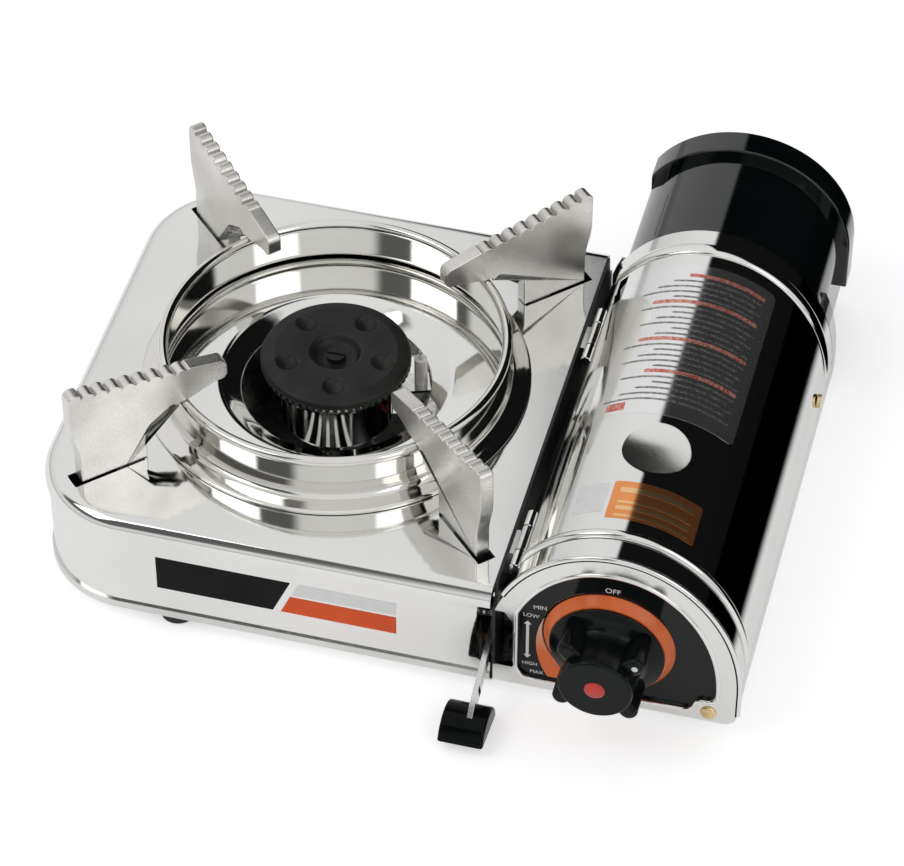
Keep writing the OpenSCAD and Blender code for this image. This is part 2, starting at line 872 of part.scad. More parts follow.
// Spark wire through the ceramic rod, bent over towards the cap
module electrode_wire() {
    z = deck_z - 16;
    wire_r = 0.6;
    bend_r = 2;
    straight = 24;
    color("silver") at_electrode() translate([electrode_at, 0, z]) union() {
        cylinder(r = wire_r, h = straight, $fn = 24);
        translate([-bend_r, 0, straight]) rotate([90, 0, 0])
            rotate_extrude(angle = 60, $fn = 24) translate([bend_r, 0]) circle(r = wire_r, $fn = 24);
    }
}

// Unit vector
function unit(v) = v / norm(v);

// Direction of a route at its point i
function route_dir(pts, i) =
    unit(pts[min(i + 1, len(pts) - 1)] - pts[max(i - 1, 0)]);

// Ring of n points round the route's point i
function route_ring(pts, i, r, n) =
    let (d = route_dir(pts, i), a = unit(cross(d, [0.3, 1, 0.1])), b = cross(d, a))
    [for (k = [0:n - 1]) pts[i] + r * cos(360 * k / n) * a + r * sin(360 * k / n) * b];

// Tube along a route of points
module tube(pts, r, n = 8) {
    last = len(pts) - 1;
    rings = [for (i = [0:last]) each route_ring(pts, i, r, n)];
    sides = [for (i = [0:last - 1], k = [0:n - 1])
        [i * n + k, i * n + (k + 1) % n, (i + 1) * n + (k + 1) % n, (i + 1) * n + k]];
    ends = [[for (k = [0:n - 1]) n - 1 - k], [for (k = [0:n - 1]) last * n + k]];
    polyhedron(points = rings, faces = concat(sides, ends), convexity = 6);
}

// Ignition lead from the igniter to the electrode
module ignition_lead() {
    color([0.75, 0.1, 0.1]) place() tube(lead_pts, lead_r);
}

// ================= bay fittings =================

// Two saddles on the bay's floor that carry the cartridge
module cartridge_saddles() {
    front = socket_y + 42;
    rear = socket_y + socket_len + cartridge_len - 73;
    color("lightgray") place() for (y = [front, rear]) {
        along_y(y, 3) difference() {
            translate([-22, floor_z]) square([44, 6.5]);
            translate([0, cartridge_z]) circle(r = cartridge_r + 0.3, $fn = 96);
        }
    }
}

// Rails on the bay's floor that guide the rear cover's legs
module cover_rails() {
    y1 = body_d - 2.5;
    mid = cover_r - cover_t / 2;
    half = cover_t / 2 + move_gap + rail_t;
    color("silver") place() for (s = [-1, 1]) {
        difference() {
            translate([s * mid - half, rail_y0, floor_z]) cube([2 * half, y1 - rail_y0, rail_h]);
            translate([s * mid - half + rail_t, rail_y0 - over, cover_hem_z - move_gap])
                cube([2 * (half - rail_t), y1 - rail_y0 + 2 * over, rail_h]);
        }
    }
}

// Spring strip that holds the closed lid
module lid_catch() {
    x = arch_half - sheet - lap_in;
    z0 = under_z + 15;
    color("silver") place() translate([x - 0.8, body_d - 50, z0])
        cube([0.8, 14, 8]);
}

// Fixed knuckles of the lid's hinges, on leaves from the heat shield
module hinge_knuckles() {
    len = hinge_fixed_len;
    color("silver") place() for (y = hinge_ys) {
        difference() {
            union() {
                bar_y(hinge_x, y - len / 2, hinge_z, hinge_r, len);
                translate([shield_face, y - len / 2, hinge_z - hinge_r])
                    cube([hinge_x - shield_face, len, 1.1]);
                translate([shield_face, y - len / 2, roll_z - 4])
                    cube([1, len, hinge_z - hinge_r - roll_z + 5.1]);
            }
            bar_y(hinge_x, y - len, hinge_z, hinge_pin_r + 0.01, 2 * len);
        }
    }
}

// Pins of the lid's hinges
module hinge_pins() {
    len = hinge_fixed_len + 2 * hinge_lid_len + 2 * move_gap;
    color("silver") place() for (y = hinge_ys) {
        bar_y(hinge_x, y - len / 2, hinge_z, hinge_pin_r, len);
    }
}

// Two ears on the heat shield that carry the lever's pin
module lever_bracket() {
    t = 1;
    far = shield_x - 2 * t - lever_t - 3.4;
    color("lightgray") place() difference() {
        union() {
            along_x(far, t) {
                translate([pivot_y, pivot_z]) circle(r = 4);
                translate([pivot_y - 4, floor_z]) square([8, pivot_z - floor_z]);
            }
            translate([far, pivot_y - 4, floor_z]) cube([shield_x - far, 8, t]);
        }
        bar_x(far - over, pivot_y, pivot_z, pivot_r + 0.01, 4);
    }
}

// Pin that the lever turns on
module lever_pin() {
    x0 = shield_x - 8.4;
    color("silver") place() union() {
        bar_x(x0, pivot_y, pivot_z, pivot_r, shield_x - x0);
        bar_x(x0 - 0.9, pivot_y, pivot_z, pivot_r + 1, 0.9);
    }
}

// Screws of the feet
module foot_screws() {
    color("silver") place() at_feet() union() {
        translate([0, 0, 1.6]) cylinder(r = 3, h = 1.6);
        translate([0, 0, 3.2]) cylinder(r = 1.5, h = foot_h + 1);
        translate([0, 0, floor_z]) cylinder(r = 3, h = 1.6, $fn = 6);
    }
}

// Rubber foot with a recess for its screw
module foot(i) {
    color([0.12, 0.12, 0.12]) place() at_feet(i) difference() {
        rotate_extrude() polygon([
            [0, 0], [foot_d / 2 - 1, 0], [foot_d / 2 - 0.2, 0.8], [foot_d / 2, foot_h - 0.05],
            [0, foot_h - 0.05]
        ]);
        translate([0, 0, -over]) cylinder(r = 3.4, h = 3.2 + over);
        translate([0, 0, -over]) cylinder(r = 1.6, h = 2 * foot_h);
    }
}

// ================= trivet =================

// Raises its child to the trivet's seat over the burner
module on_deck() {
    place() translate([burner_x, burner_y, deck_z + seat_gap]) children();
}

// Drawn ring with an outward foot and a rolled rim
module wind_ring() {
    bead_z = ring_h - seat_gap - bead_r;
    w = ring_wall_r;
    f = ring_foot_r;
    color("gainsboro") on_deck() union() {
        rotate_extrude($fn = 96) polygon([
            [w, bead_z], [w, 4.5], [w + 0.6, 2.9], [w + 2, 1.9], [f - 0.8, 1.2],
            [f, 0.8], [f, 0], [f - 0.6, 0], [w + 1.8, 0.8], [w - 0.2, 1.6],
            [w - ring_t, 3.4], [w - ring_t, bead_z]
        ]);
        rotate_extrude($fn = 96) translate([ring_r - bead_r, bead_z]) circle(r = bead_r);
    }
}

// Height of a pan support's top edge over the deck at radius r
function support_top(r) =
    support_h - 10.4 * (support_r - r) / (support_r - support_in_r - 3.4);

// Toothed pan support: a plate on the rim, with a leg that stands on the deck
module pan_support(i) {
    first = support_in_r + 18.7;
    last = support_r - 8.2;
    pitch = (last - first) / (support_teeth - 1);
    tooth_r = 0.55 * pitch;
    notch = 2;
    start = first - pitch / 2;
    end = last + pitch / 2;
    rim = ring_h - seat_gap + 0.2;
    inner = support_in_r;
    under = rim + 3.6;
    color("gainsboro") on_deck() rotate(45 + 90 * i) rotate([90, 0, 0])
        linear_extrude(support_t, center = true) union() {
            polygon(concat(
                [[leg_in_r, 0], [leg_in_r + 2, 0], [leg_in_r + 2, -tab_depth],
                 [leg_in_r + 12, -tab_depth], [leg_in_r + 12, 0], [leg_out_r, 0],
                 [leg_out_r, 14], [support_r, 25.2]],
                [for (t = [0:30:90])
                    [support_r - 3 + 3 * cos(t), support_h - 3.4 + 3 * sin(t)]],
                [[end, support_top(end)], [end, support_top(end) - notch],
                 [start, support_top(start) - notch], [start, support_top(start)]],
                [for (t = [90:30:180])
                    [inner + 3.4 + 3.4 * cos(t), support_top(inner + 3.4) - 4 + 3.4 * sin(t)]],
                [[inner, under + 1.6], [inner + 1.6, under], [inner + 5.6, under],
                 [ring_r - bead_r - 1, rim], [ring_r + 0.3, rim], [ring_r + 0.6, rim - 1.6],
                 [ring_r + 3.6, rim + 0.4], [leg_in_r - 1.2, rim - 5.6],
                 [leg_in_r, rim - 9.4]]
            ));
            for (k = [0:support_teeth - 1]) {
                translate([first + k * pitch, support_top(first + k * pitch) - tooth_r])
                    circle(r = tooth_r, $fn = 24);
            }
        }
}

// ================= lid =================

// Room for the fixed knuckle in the lid's left edge
module hinge_notch(y) {
    w = hinge_fixed_len + 2 * move_gap;
    translate([hinge_x - 6, y - w / 2, hinge_z - 4]) cube([10, w, 7.4]);
}

// Arched lid of the bay with two ribs, a finger dimple and its hinge knuckles
module lid() {
    len = lid_y1 - lid_y0;
    front_rib = lid_y0 + 0.5;
    rear_rib = lid_y1 - 14;
    ball_z = arch_top_z + dimple_r - dimple_depth;
    latch_y = body_d - 43;
    color("gainsboro") place() difference() {
        union() {
            along_y(lid_y0, len) intersection() {
                arch_band(0, sheet, lid_hem_z);
                union() {
                    right_above(0, lid_hem_z);
                    right_above(-2 * arch_half, hinge_z);
                }
            }
            for (rib = [[front_rib, 3.6], [rear_rib, 6]]) {
                along_y(rib[0], rib[1]) intersection() {
                    arch_band(-rib_proud, 0, lid_hem_z + 2);
                    union() {
                        right_above(0, lid_hem_z + 2);
                        right_above(-2 * arch_half, hinge_z + 3);
                    }
                }
            }
            for (y = hinge_ys, s = [-1, 1]) {
                bar_y(hinge_x, y + s * (hinge_fixed_len / 2 + move_gap + hinge_lid_len / 2)
                      - hinge_lid_len / 2, hinge_z, hinge_r, hinge_lid_len);
            }
            intersection() {
                translate([0, dimple_y, ball_z]) sphere(r = dimple_r + sheet, $fn = 96);
                translate([-20, dimple_y - 20, arch_top_z - 8]) cube([40, 40, 7.4]);
                along_y(lid_y0, len) polygon(arch_pts(0.3, lid_hem_z));
            }
        }
        translate([0, dimple_y, ball_z]) sphere(r = dimple_r, $fn = 96);
        for (y = hinge_ys) {
            hinge_notch(y);
            bar_y(hinge_x, y - 20, hinge_z, hinge_pin_r + run_gap, 40);
        }
        translate([-arch_half, latch_y + 3, deck_z + 9])
            cube([arch_half - 32, 14, 4]);
    }
}

// Brass stud on the lid's right side
module latch_stud() {
    color("goldenrod") place() bar_x(arch_half - 0.2, body_d - 40, spring_z + 7, 2.8, 1.4);
}

// ================= knob =================

// Draws its child round the knob's axis, with +Z pointing at the user
module on_knob() {
    place() translate([knob_x, -0.6, knob_z]) rotate([90, 0, 0]) children();
}

// Control knob: flared skirt, barrel and four finger wings
module knob() {
    barrel_r = 13.9;
    wing_r = 21;
    face = knob_out - 0.6;
    wing_w = 7;
    r = knob_skirt_r;
    color([0.07, 0.07, 0.08]) on_knob() difference() {
        union() {
            rotate_extrude($fn = 96) polygon([
                [0, 0], [r - 2, 0], [r - 2, 3.2], [r - 0.2, 4.4], [r, 5], [r - 0.2, 5.6],
                [r - 1.6, 6.6], [r - 4.2, 7.3], [r - 4.6, 6.9], [r - 5, 7.5],
                [barrel_r + 2.4, 8.2], [barrel_r, 10], [barrel_r, face - 1.2],
                [barrel_r - 1, face], [0, face]
            ]);
            for (a = [40, 132, 222, 312]) {
                rotate(a) translate([0, 0, 5]) linear_extrude(face - 8.4) {
                    translate([wing_r - wing_w / 2, 0]) circle(d = wing_w);
                    translate([0, -wing_w / 2]) square([wing_r - wing_w / 2, wing_w]);
                }
            }
        }
        translate([0, 0, -over]) cylinder(r = stem_r + 0.05, h = 12 + over);
        translate([0, 0, -over]) difference() {
            cylinder(r = knob_skirt_r - 4, h = over + 3);
            cylinder(r = stem_r + 3, h = over + 4);
        }
    }
}

// Badge on the knob's face
module knob_badge() {
    color("firebrick") on_knob() translate([0, 0, knob_out - 0.6]) cylinder(r = 4.2, h = 0.5);
}

// Spindle of the gas valve, turned by the knob
module valve_stem() {
    color("silver") on_knob() translate([0, 0, -18]) cylinder(r = stem_r, h = 29.9);
}

// ================= locking lever =================

// Flat steel arm of the locking lever with its crank for the drive pin
module lever_arm() {
    half = lever_h / 2;
    run = lever_reach / cos(lever_slope) - 8;
    color("silver") place() difference() {
        along_x(lever_x - lever_t, lever_t) {
            translate([pivot_y, pivot_z]) circle(r = 4.4);
            translate([pivot_y, pivot_z]) rotate(180 + lever_slope)
                translate([0, -half]) square([run, lever_h]);
            translate([pivot_y - 3, pivot_z]) square([6, drive_arm]);
            translate([pivot_y, pivot_z + drive_arm]) circle(r = 3);
        }
        bar_x(lever_x - lever_t - over, pivot_y, pivot_z, pivot_r + run_gap, 4);
        bar_x(lever_x - lever_t - over, pivot_y, pivot_z + drive_arm, drive_r + 0.01, 4);
    }
}

// Black grip of the locking lever: a D-shaped bar across the arm's end
module lever_grip() {
    steps = 18;
    x0 = lever_x - lever_t / 2 - grip_w * 0.6;
    color([0.07, 0.07, 0.08]) place() difference() {
        along_x(x0, grip_w) translate([grip_y, grip_z]) rotate(-grip_tilt)
            polygon([for (i = [0:steps])
                [grip_chord * cos(i * 180 / steps), grip_high * sin(i * 180 / steps)]]);
        translate([lever_x - lever_t - 0.1, 0, 0]) rotate([90, 0, 90]) linear_extrude(lever_t + 0.2)
            translate([pivot_y, pivot_z]) rotate(180 + lever_slope)
                translate([0, -lever_h / 2 - 0.1])
                    square([lever_reach / cos(lever_slope) - 7.9, lever_h + 0.2]);
    }
}

// Pin on the lever's crank that moves the yoke
module drive_pin() {
    color("silver") place()
        bar_x(lever_x - lever_t, pivot_y, pivot_z + drive_arm, drive_r, shield_inset + lever_t + 3.2);
}

// Sliding fork that holds the cartridge's collar
module locking_yoke() {
    tab_x = shield_face + 0.5;
    tab_w = 7;
    fork_w = 42;
    throat = 15;
    fork_top = cartridge_z + 16;
    color("lightsteelblue") place() difference() {
        union() {
            translate([tab_x, pivot_y - tab_w / 2, yoke_foot_z])
                cube([yoke_t, tab_w, pivot_z + drive_arm + 4 - yoke_foot_z]);
            translate([tab_x, pivot_y - tab_w / 2, yoke_foot_z])
                cube([18, tab_w, 1.5]);
            translate([tab_x + 12, pivot_y - tab_w / 2, yoke_foot_z])
                cube([7, yoke_y + yoke_t - pivot_y + tab_w / 2, 1.5]);
            along_y(yoke_y, yoke_t) difference() {
                translate([tab_x + 12, yoke_foot_z])
                    square([fork_w / 2 - tab_x - 12, fork_top - yoke_foot_z]);
                translate([0, cartridge_z]) circle(r = throat);
                translate([-throat, cartridge_z]) square([2 * throat, 40]);
            }
        }
        // slot for the drive pin
        along_x(tab_x - over, 4) translate([pivot_y - drive_r - 0.5, pivot_z + drive_arm - 4.5])
            square([2 * drive_r + 1, 7]);
    }
}

// ================= rear cover =================

// Black half-round cover with a flat left side, an end wall and an outward flange
module rear_cover() {
    slit_y = body_d - 4;
    slit_a = 133.5;
    color([0.05, 0.05, 0.06]) place() difference() {
        union() {
            along_y(cover_y0, cover_len) difference() {
                cover_outline(0, cover_hem_z);
                cover_outline(cover_t, cover_hem_z - over);
            }
            along_y(cover_y1 - flange_d, flange_d) difference() {
                intersection() {
                    cover_outline(-flange_proud, cover_hem_z + 11);
                    right_above(-cover_left, cover_hem_z);
                }
                cover_outline(0.4, cover_hem_z - over);
            }
            along_y(cover_y1 - cover_t, cover_t) cover_outline(cover_t / 2, cover_hem_z);
        }
        translate([0, slit_y, cover_z]) rotate([0, -slit_a, 0])
            translate([cover_r - 4, 0, -1]) cube([8, 25.5, 2]);
        for (i = [-2:2]) {
            translate([9 * i, cover_y1 + over, cover_z - 6]) rotate([90, 0, 0])
                linear_extrude(4) rotate(90) slot(24, 3.5);
        }
    }
}

// ================= nodes =================

base_tray();
side_shell();
top_deck();
heat_shield();
bay_trough();
front_frame();
rear_frame();
control_panel();
dial_ring();
dome_screw();
regulator_bracket();
regulator_body();
cartridge_socket();
socket_seal();
igniter();
gas_pipe();
jet_nozzle();
mixing_tube();
burner_base();
burner_bracket();
burner_cap();
cap_screw();
electrode_bracket();
electrode_insulator();
electrode_wire();
ignition_lead();
cartridge_saddles();
cover_rails();
hinge_knuckles();
hinge_pins();
lid_catch();
lever_bracket();
lever_pin();
foot_screws();
for (i = [1:4]) {
    foot(i);
    pan_support(i);
}
wind_ring();
lid();
latch_stud();
knob();
knob_badge();
valve_stem();
lever_arm();
lever_grip();
drive_pin();
locking_yoke();
rear_cover();
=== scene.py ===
"""Butane cassette stove: its finished surfaces, finishes, studio and camera.

Shapes are worked out in millimetres in the maker's axes: X to the right from the middle of the
bay's arch, Y to the back from the front face, Z up from the table. shift() puts them into the
frame's metres.
"""
import json
import math

import bmesh
import bpy
import numpy as np
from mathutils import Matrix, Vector


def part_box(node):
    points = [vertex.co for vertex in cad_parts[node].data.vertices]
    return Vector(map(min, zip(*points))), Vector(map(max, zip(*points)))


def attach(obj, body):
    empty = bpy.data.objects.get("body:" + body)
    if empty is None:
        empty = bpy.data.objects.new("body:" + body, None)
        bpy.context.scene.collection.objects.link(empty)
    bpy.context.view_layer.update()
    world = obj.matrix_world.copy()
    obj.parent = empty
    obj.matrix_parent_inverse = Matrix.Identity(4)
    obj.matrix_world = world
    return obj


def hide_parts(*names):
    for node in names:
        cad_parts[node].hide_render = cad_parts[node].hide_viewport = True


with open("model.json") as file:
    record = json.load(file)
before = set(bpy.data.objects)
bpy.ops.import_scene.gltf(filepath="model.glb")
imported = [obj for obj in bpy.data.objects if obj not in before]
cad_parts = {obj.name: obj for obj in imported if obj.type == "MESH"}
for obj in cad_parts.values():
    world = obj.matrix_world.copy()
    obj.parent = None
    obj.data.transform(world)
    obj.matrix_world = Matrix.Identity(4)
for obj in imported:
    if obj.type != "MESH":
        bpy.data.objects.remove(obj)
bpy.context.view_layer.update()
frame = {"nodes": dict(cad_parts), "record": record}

# ------------ sizes of the stove, mm
UNDER, FLOOR, ROLL, DECK = 6.0, 7.0, 45.5, 51.5      # heights above the table
SHEET, ROLL_R, CORNER_R = 1.0, 6.0, 36.0
LEFT, DEPTH, DECK_RIGHT = -224.0, 190.0, -45.3
BURNER = np.array([-130.0, 95.0])
WINDOW_LOW, WINDOW_HIGH = 14.7, 43.5                 # foot and top of the lever's window
HALF, SPRING, RISE = 47.0, 22.7, 57.2                # arch: half width, foot, rise
LID_Y0, LID_Y1, LID_HEM = 11.8, 180.3, 21.0
HINGE_X, HINGE_Z, HINGE_YS = -39.6046, 53.5, (26.8, 138.5)
KNOB_X, KNOB_Z = -1.2, 37.2
DIMPLE_X, DIMPLE_Y, DIMPLE_A, DIMPLE_B, DIMPLE_DEEP = 1.6, 60.0, 12.9, 12.8, 3.1
DIMPLE_PART, LID_UPPER = 0.93, 70.0                  # where the dimple has its own finish
SEAT = DECK + 0.3                                    # foot of the trivet
MERGE = 2e-6                                         # points closer than this, in metres, merge

cap_low, cap_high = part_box("burner_cap")
SHIFT = np.array([(cap_low.x + cap_high.x) * 500 - BURNER[0],
                  (cap_low.y + cap_high.y) * 500 - BURNER[1], 0.0])


def shift(points):
    """Maker's millimetres to the frame's metres: add the fixed offset, divide by a thousand."""
    return (np.asarray(points, float) + SHIFT) / 1000.0


# ------------ helpers for shapes

def on_circle(angles):
    """Points (cos a, sin a) for one or more angles in degrees."""
    a = np.radians(angles)
    return np.stack([np.cos(a), np.sin(a)], -1)


def arc(cx, cy, r, start, end, n):
    """n + 1 points of a circle: centre + r (cos a, sin a), a from start to end degrees."""
    return r * on_circle(np.linspace(start, end, n + 1)) + [cx, cy]


def fillet(corners, radii, n=5):
    """Rounds each corner P of a closed outline: with A and B at the given distance before and
    after it, the points (1-s)^2 A + 2 s (1-s) P + s^2 B, s from 0 to 1."""
    p = np.asarray(corners, float)
    r = np.broadcast_to(np.asarray(radii, float), (len(p),))[:, None]
    back, ahead = np.roll(p, 1, 0) - p, np.roll(p, -1, 0) - p
    lb, la = (np.linalg.norm(v, axis=1)[:, None] for v in (back, ahead))
    a = p + back / lb * np.minimum(r, 0.49 * lb)
    b = p + ahead / la * np.minimum(r, 0.49 * la)
    s = np.linspace(0, 1, n)[None, :, None]
    pts = (1 - s) ** 2 * a[:, None] + 2 * s * (1 - s) * p[:, None] + s ** 2 * b[:, None]
    return pts.reshape(-1, 2)


def spun(points, angle):
    """Flat points turned about the origin by an angle in degrees."""
    c, s = on_circle(angle)
    return points @ np.array([[c, s], [-s, c]])


def spaced(outline, gap):
    """Closed outline without the points that lie closer than a gap to the one before."""
    p = np.asarray(outline, float)
    return p[np.linalg.norm(p - np.roll(p, 1, 0), axis=1) > gap]


def chain(*lines):
    """Lines of points one after the other as one array."""
    return np.concatenate(lines)


def resample(points, n):
    """n points at even distances along a line of points, its ends kept."""
    p = np.asarray(points, float)
    d = chain([0], np.cumsum(np.linalg.norm(np.diff(p, axis=0), axis=1)))
    t = np.linspace(0, d[-1], n)
    return np.stack([np.interp(t, d, p[:, k]) for k in range(p.shape[1])], -1)


def step(t):
    """Smooth step: 3 t^2 - 2 t^3 with t held between 0 and 1."""
    t = np.clip(t, 0, 1)
    return t * t * (3 - 2 * t)


def quads(nu, nv, wrap_u=False, wrap_v=False):
    """Corner numbers of the faces between neighbouring rows and columns of a grid of points."""
    a, b = np.meshgrid(np.arange(nu if wrap_u else nu - 1), np.arange(nv if wrap_v else nv - 1),
                       indexing="ij")
    a1, b1 = (a + 1) % nu, (b + 1) % nv
    return np.stack([a * nv + b, a1 * nv + b, a1 * nv + b1, a * nv + b1], -1)


def join(*parts):
    """Puts (points, faces) parts into one: later face numbers move up by the points before."""
    pts, faces, n = [], [], 0
    for p, f in parts:
        pts.append(np.asarray(p, float).reshape(-1, 3))
        faces += [[int(i) + n for i in face] for face in f]
        n += len(pts[-1])
    return np.concatenate(pts), faces


def shell(outer, inner, keep=None, wrap_u=False):
    """Sheet with two skins, outer and inner grids of the same size. Only kept faces stay, and
    a wall joins the skins wherever a kept face has no kept neighbour."""
    nu, nv = outer.shape[:2]
    q = quads(nu, nv, wrap_u)
    keep = np.ones(q.shape[:2], bool) if keep is None else keep
    n = nu * nv
    f_out = q[keep]
    f_in = q[keep][:, ::-1] + n
    walls = []
    pad = np.pad(keep, 1)
    if wrap_u:
        pad[0, 1:-1], pad[-1, 1:-1] = keep[-1], keep[0]
    sides = [(pad[1:-1, :-2], 0, 1), (pad[2:, 1:-1], 1, 2),
             (pad[1:-1, 2:], 2, 3), (pad[:-2, 1:-1], 3, 0)]
    for near, i, j in sides:
        e = q[keep & ~near]
        walls.append(np.stack([e[:, j], e[:, i], e[:, i] + n, e[:, j] + n], -1))
    pts = chain(outer.reshape(-1, 3), inner.reshape(-1, 3))
    return pts, np.concatenate([f_out, f_in] + walls).tolist()


def loft(grid, ring=False):
    """Rows of closed outlines joined one to the next. The first and the last outline are
    filled, or joined to each other where the rows form a ring."""
    n, m = grid.shape[:2]
    faces = quads(n, m, ring, True).reshape(-1, 4).tolist()
    if not ring:
        faces += [list(range(m))[::-1], list(range((n - 1) * m, n * m))]
    return grid.reshape(-1, 3), faces


def upright(xz, y=0.0):
    """Points of (X, Z) put into space at depth y."""
    p = np.asarray(xz, float)
    return np.stack([p[..., 0], np.full(p.shape[:-1], y), p[..., 1]], -1)


def level(xy, z):
    """Points of (X, Y) put into space at height z."""
    return np.concatenate([xy, np.full((len(xy), 1), z)], 1)


def sideways(yz, x):
    """Points of (Y, Z) put into space at the distance x to the right."""
    return np.concatenate([np.full((len(yz), 1), x), yz], 1)


# Directions U, V and W of turned pieces, by the name of the axis W
AXES = {"z": ((1, 0, 0), (0, 1, 0), (0, 0, 1)), "y": ((1, 0, 0), (0, 0, -1), (0, 1, 0)),
        "-y": ((1, 0, 0), (0, 0, 1), (0, -1, 0))}


def turned(profile, origin, axis="z", n=96):
    """Closed profile of (radius, height) turned about an axis: origin + r cos a U + r sin a V
    + h W."""
    u, v, w = (np.array(k, float) for k in AXES[axis])
    p = np.asarray(profile, float)
    a = np.linspace(0, 2 * np.pi, n, endpoint=False)[:, None, None]
    return loft(np.asarray(origin, float) + p[None, :, :1] * (np.cos(a) * u + np.sin(a) * v)
                + p[None, :, 1:] * w, ring=True)


def swept(section, path, across, ring=False):
    """Section of (a, b) carried along a path: path + a across + b Y, its ends closed flat."""
    s = np.asarray(section, float)
    return loft(path[:, None] + s[None, :, :1] * across[:, None]
                + s[None, :, 1:] * np.array([0.0, 1.0, 0.0]), ring)


def inward(outline, d):
    """Closed outline moved to its inner side by d along the mean normal of its two edges."""
    p = np.asarray(outline, float)
    t = np.roll(p, -1, 0) - np.roll(p, 1, 0)
    t /= np.linalg.norm(t, axis=1)[:, None] + 1e-12
    area = np.sum(p[:, 0] * np.roll(p[:, 1], -1) - p[:, 1] * np.roll(p[:, 0], -1))
    return p + d * np.sign(area) * np.stack([-t[:, 1], t[:, 0]], -1)


def slab(outline, low, high, ease, to3):
    """Plate from a closed outline between two heights, its edges eased by a small quarter
    round: rows of the outline moved inward by ease (1 - sin a) at height ease (1 - cos a)."""
    a = np.radians(np.linspace(0, 90, 4))
    rows_in = chain(ease * (1 - np.sin(a)), ease * (1 - np.sin(a[::-1])))
    rows_z = chain(low + ease * (1 - np.cos(a)), high - ease * (1 - np.cos(a[::-1])))
    return loft(np.stack([to3(inward(outline, d), z) for d, z in zip(rows_in, rows_z)]))


def add_object(name, data):
    """New object in the scene with the given mesh, lamp or camera."""
    obj = bpy.data.objects.new(name, data)
    bpy.context.scene.collection.objects.link(obj)
    return obj


def aim(obj, place, direction):
    """Puts a lamp or camera at a place in metres and turns it to look along a direction."""
    obj.location = place
    obj.rotation_mode = "QUATERNION"
    obj.rotation_quaternion = Vector(direction).to_track_quat("-Z", "Y")


def piece(name, made, body, material, replaces=(), sharp=38):
    """Makes one mesh object from (points, faces): doubles merged, faces turned outwards,
    smooth except at folds sharper than the given angle in degrees."""
    pts, faces = made
    mesh = bpy.data.meshes.new(name)
    mesh.from_pydata(shift(pts).tolist(), [], faces)
    bm = bmesh.new()
    bm.from_mesh(mesh)
    bmesh.ops.remove_doubles(bm, verts=bm.verts, dist=MERGE)
    bmesh.ops.dissolve_degenerate(bm, edges=bm.edges, dist=MERGE / 2)
    bmesh.ops.recalc_face_normals(bm, faces=bm.faces)
    if bm.calc_volume(signed=True) < 0:
        bmesh.ops.reverse_faces(bm, faces=bm.faces)
    bm.to_mesh(mesh)
    bm.free()
    mesh.polygons.foreach_set("use_smooth", np.ones(len(mesh.polygons), bool))
    mesh.set_sharp_from_angle(angle=math.radians(sharp))
    mesh.materials.append(material)
    obj = add_object(name, mesh)
    normals = obj.modifiers.new("even_normals", "WEIGHTED_NORMAL")
    normals.keep_sharp, normals.weight = True, 80
    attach(obj, body)
    if replaces:
        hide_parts(*replaces)
    return obj


# ------------ finishes

def wire(node, inputs):
    """Sets a node's inputs: an output of another node is linked, a number or colour is set."""
    for key, value in inputs.items():
        if isinstance(value, bpy.types.NodeSocket):
            node.id_data.links.new(value, node.inputs[key])
        else:
            node.inputs[key].default_value = value
    return node


def put(tree, kind, inputs=None):
    """Adds a shader node of a kind to a node tree and sets its inputs."""
    return wire(tree.nodes.new("ShaderNode" + kind), inputs or {})


def maths(tree, operation, *values):
    """Math node: an operation on numbers or outputs of other nodes."""
    node = put(tree, "Math", dict(enumerate(values)))
    node.operation = operation
    return node.outputs[0]


def span(tree, value, low, high, start=0.0, end=1.0, way="LINEAR"):
    """Map Range node: low to high becomes start to end, straight or as a smooth step."""
    node = put(tree, "MapRange", {"Value": value, "From Min": low, "From Max": high,
                                  "To Min": start, "To Max": end})
    node.interpolation_type = way
    return node.outputs["Result"]


def finish(name, colour, shade, rough, size=60, relief=0.02, grit=1500, metallic=0.0,
           grain=(1, 1, 1), wave=0.0, coat=0.0, specular=0.5, patch=(0.35, 0.65)):
    """Procedural finish on object coordinates. A broad noise of the given size mixes colour
    with shade, a fine noise, grit, stretched by grain varies roughness and raises the surface
    by relief, and a slow noise bends it by wave as pressed sheet does."""
    mat = bpy.data.materials.new(name)
    mat.use_nodes = True
    tree = mat.node_tree
    place = put(tree, "TexCoord").outputs["Object"]
    stretched = put(tree, "Mapping", {"Vector": place, "Scale": grain}).outputs["Vector"]

    def noise(vector, scale, detail):
        return put(tree, "TexNoise", {"Vector": vector, "Scale": scale,
                                      "Detail": detail}).outputs["Fac"]

    def bump(height, strength, distance, **under):
        return put(tree, "Bump", {"Height": height, "Strength": strength,
                                  "Distance": distance, **under}).outputs["Normal"]

    broad, fine = noise(place, size, 5), noise(stretched, grit, 3)
    mix = put(tree, "Mix")
    mix.data_type = "RGBA"
    wire(mix, {"A": (*colour, 1), "B": (*shade, 1), "Factor": span(tree, broad, *patch)})
    under = {"Normal": bump(noise(place, 9.0, 1), wave, 0.002)} if wave else {}
    wire(tree.nodes["Principled BSDF"], {
        "Base Color": mix.outputs["Result"], "Roughness": span(tree, fine, 0.3, 0.7, *rough),
        "Normal": bump(fine, relief, 0.0002, **under), "Metallic": metallic,
        "Coat Weight": coat, "Coat Roughness": 0.04, "Specular IOR Level": specular})
    return mat


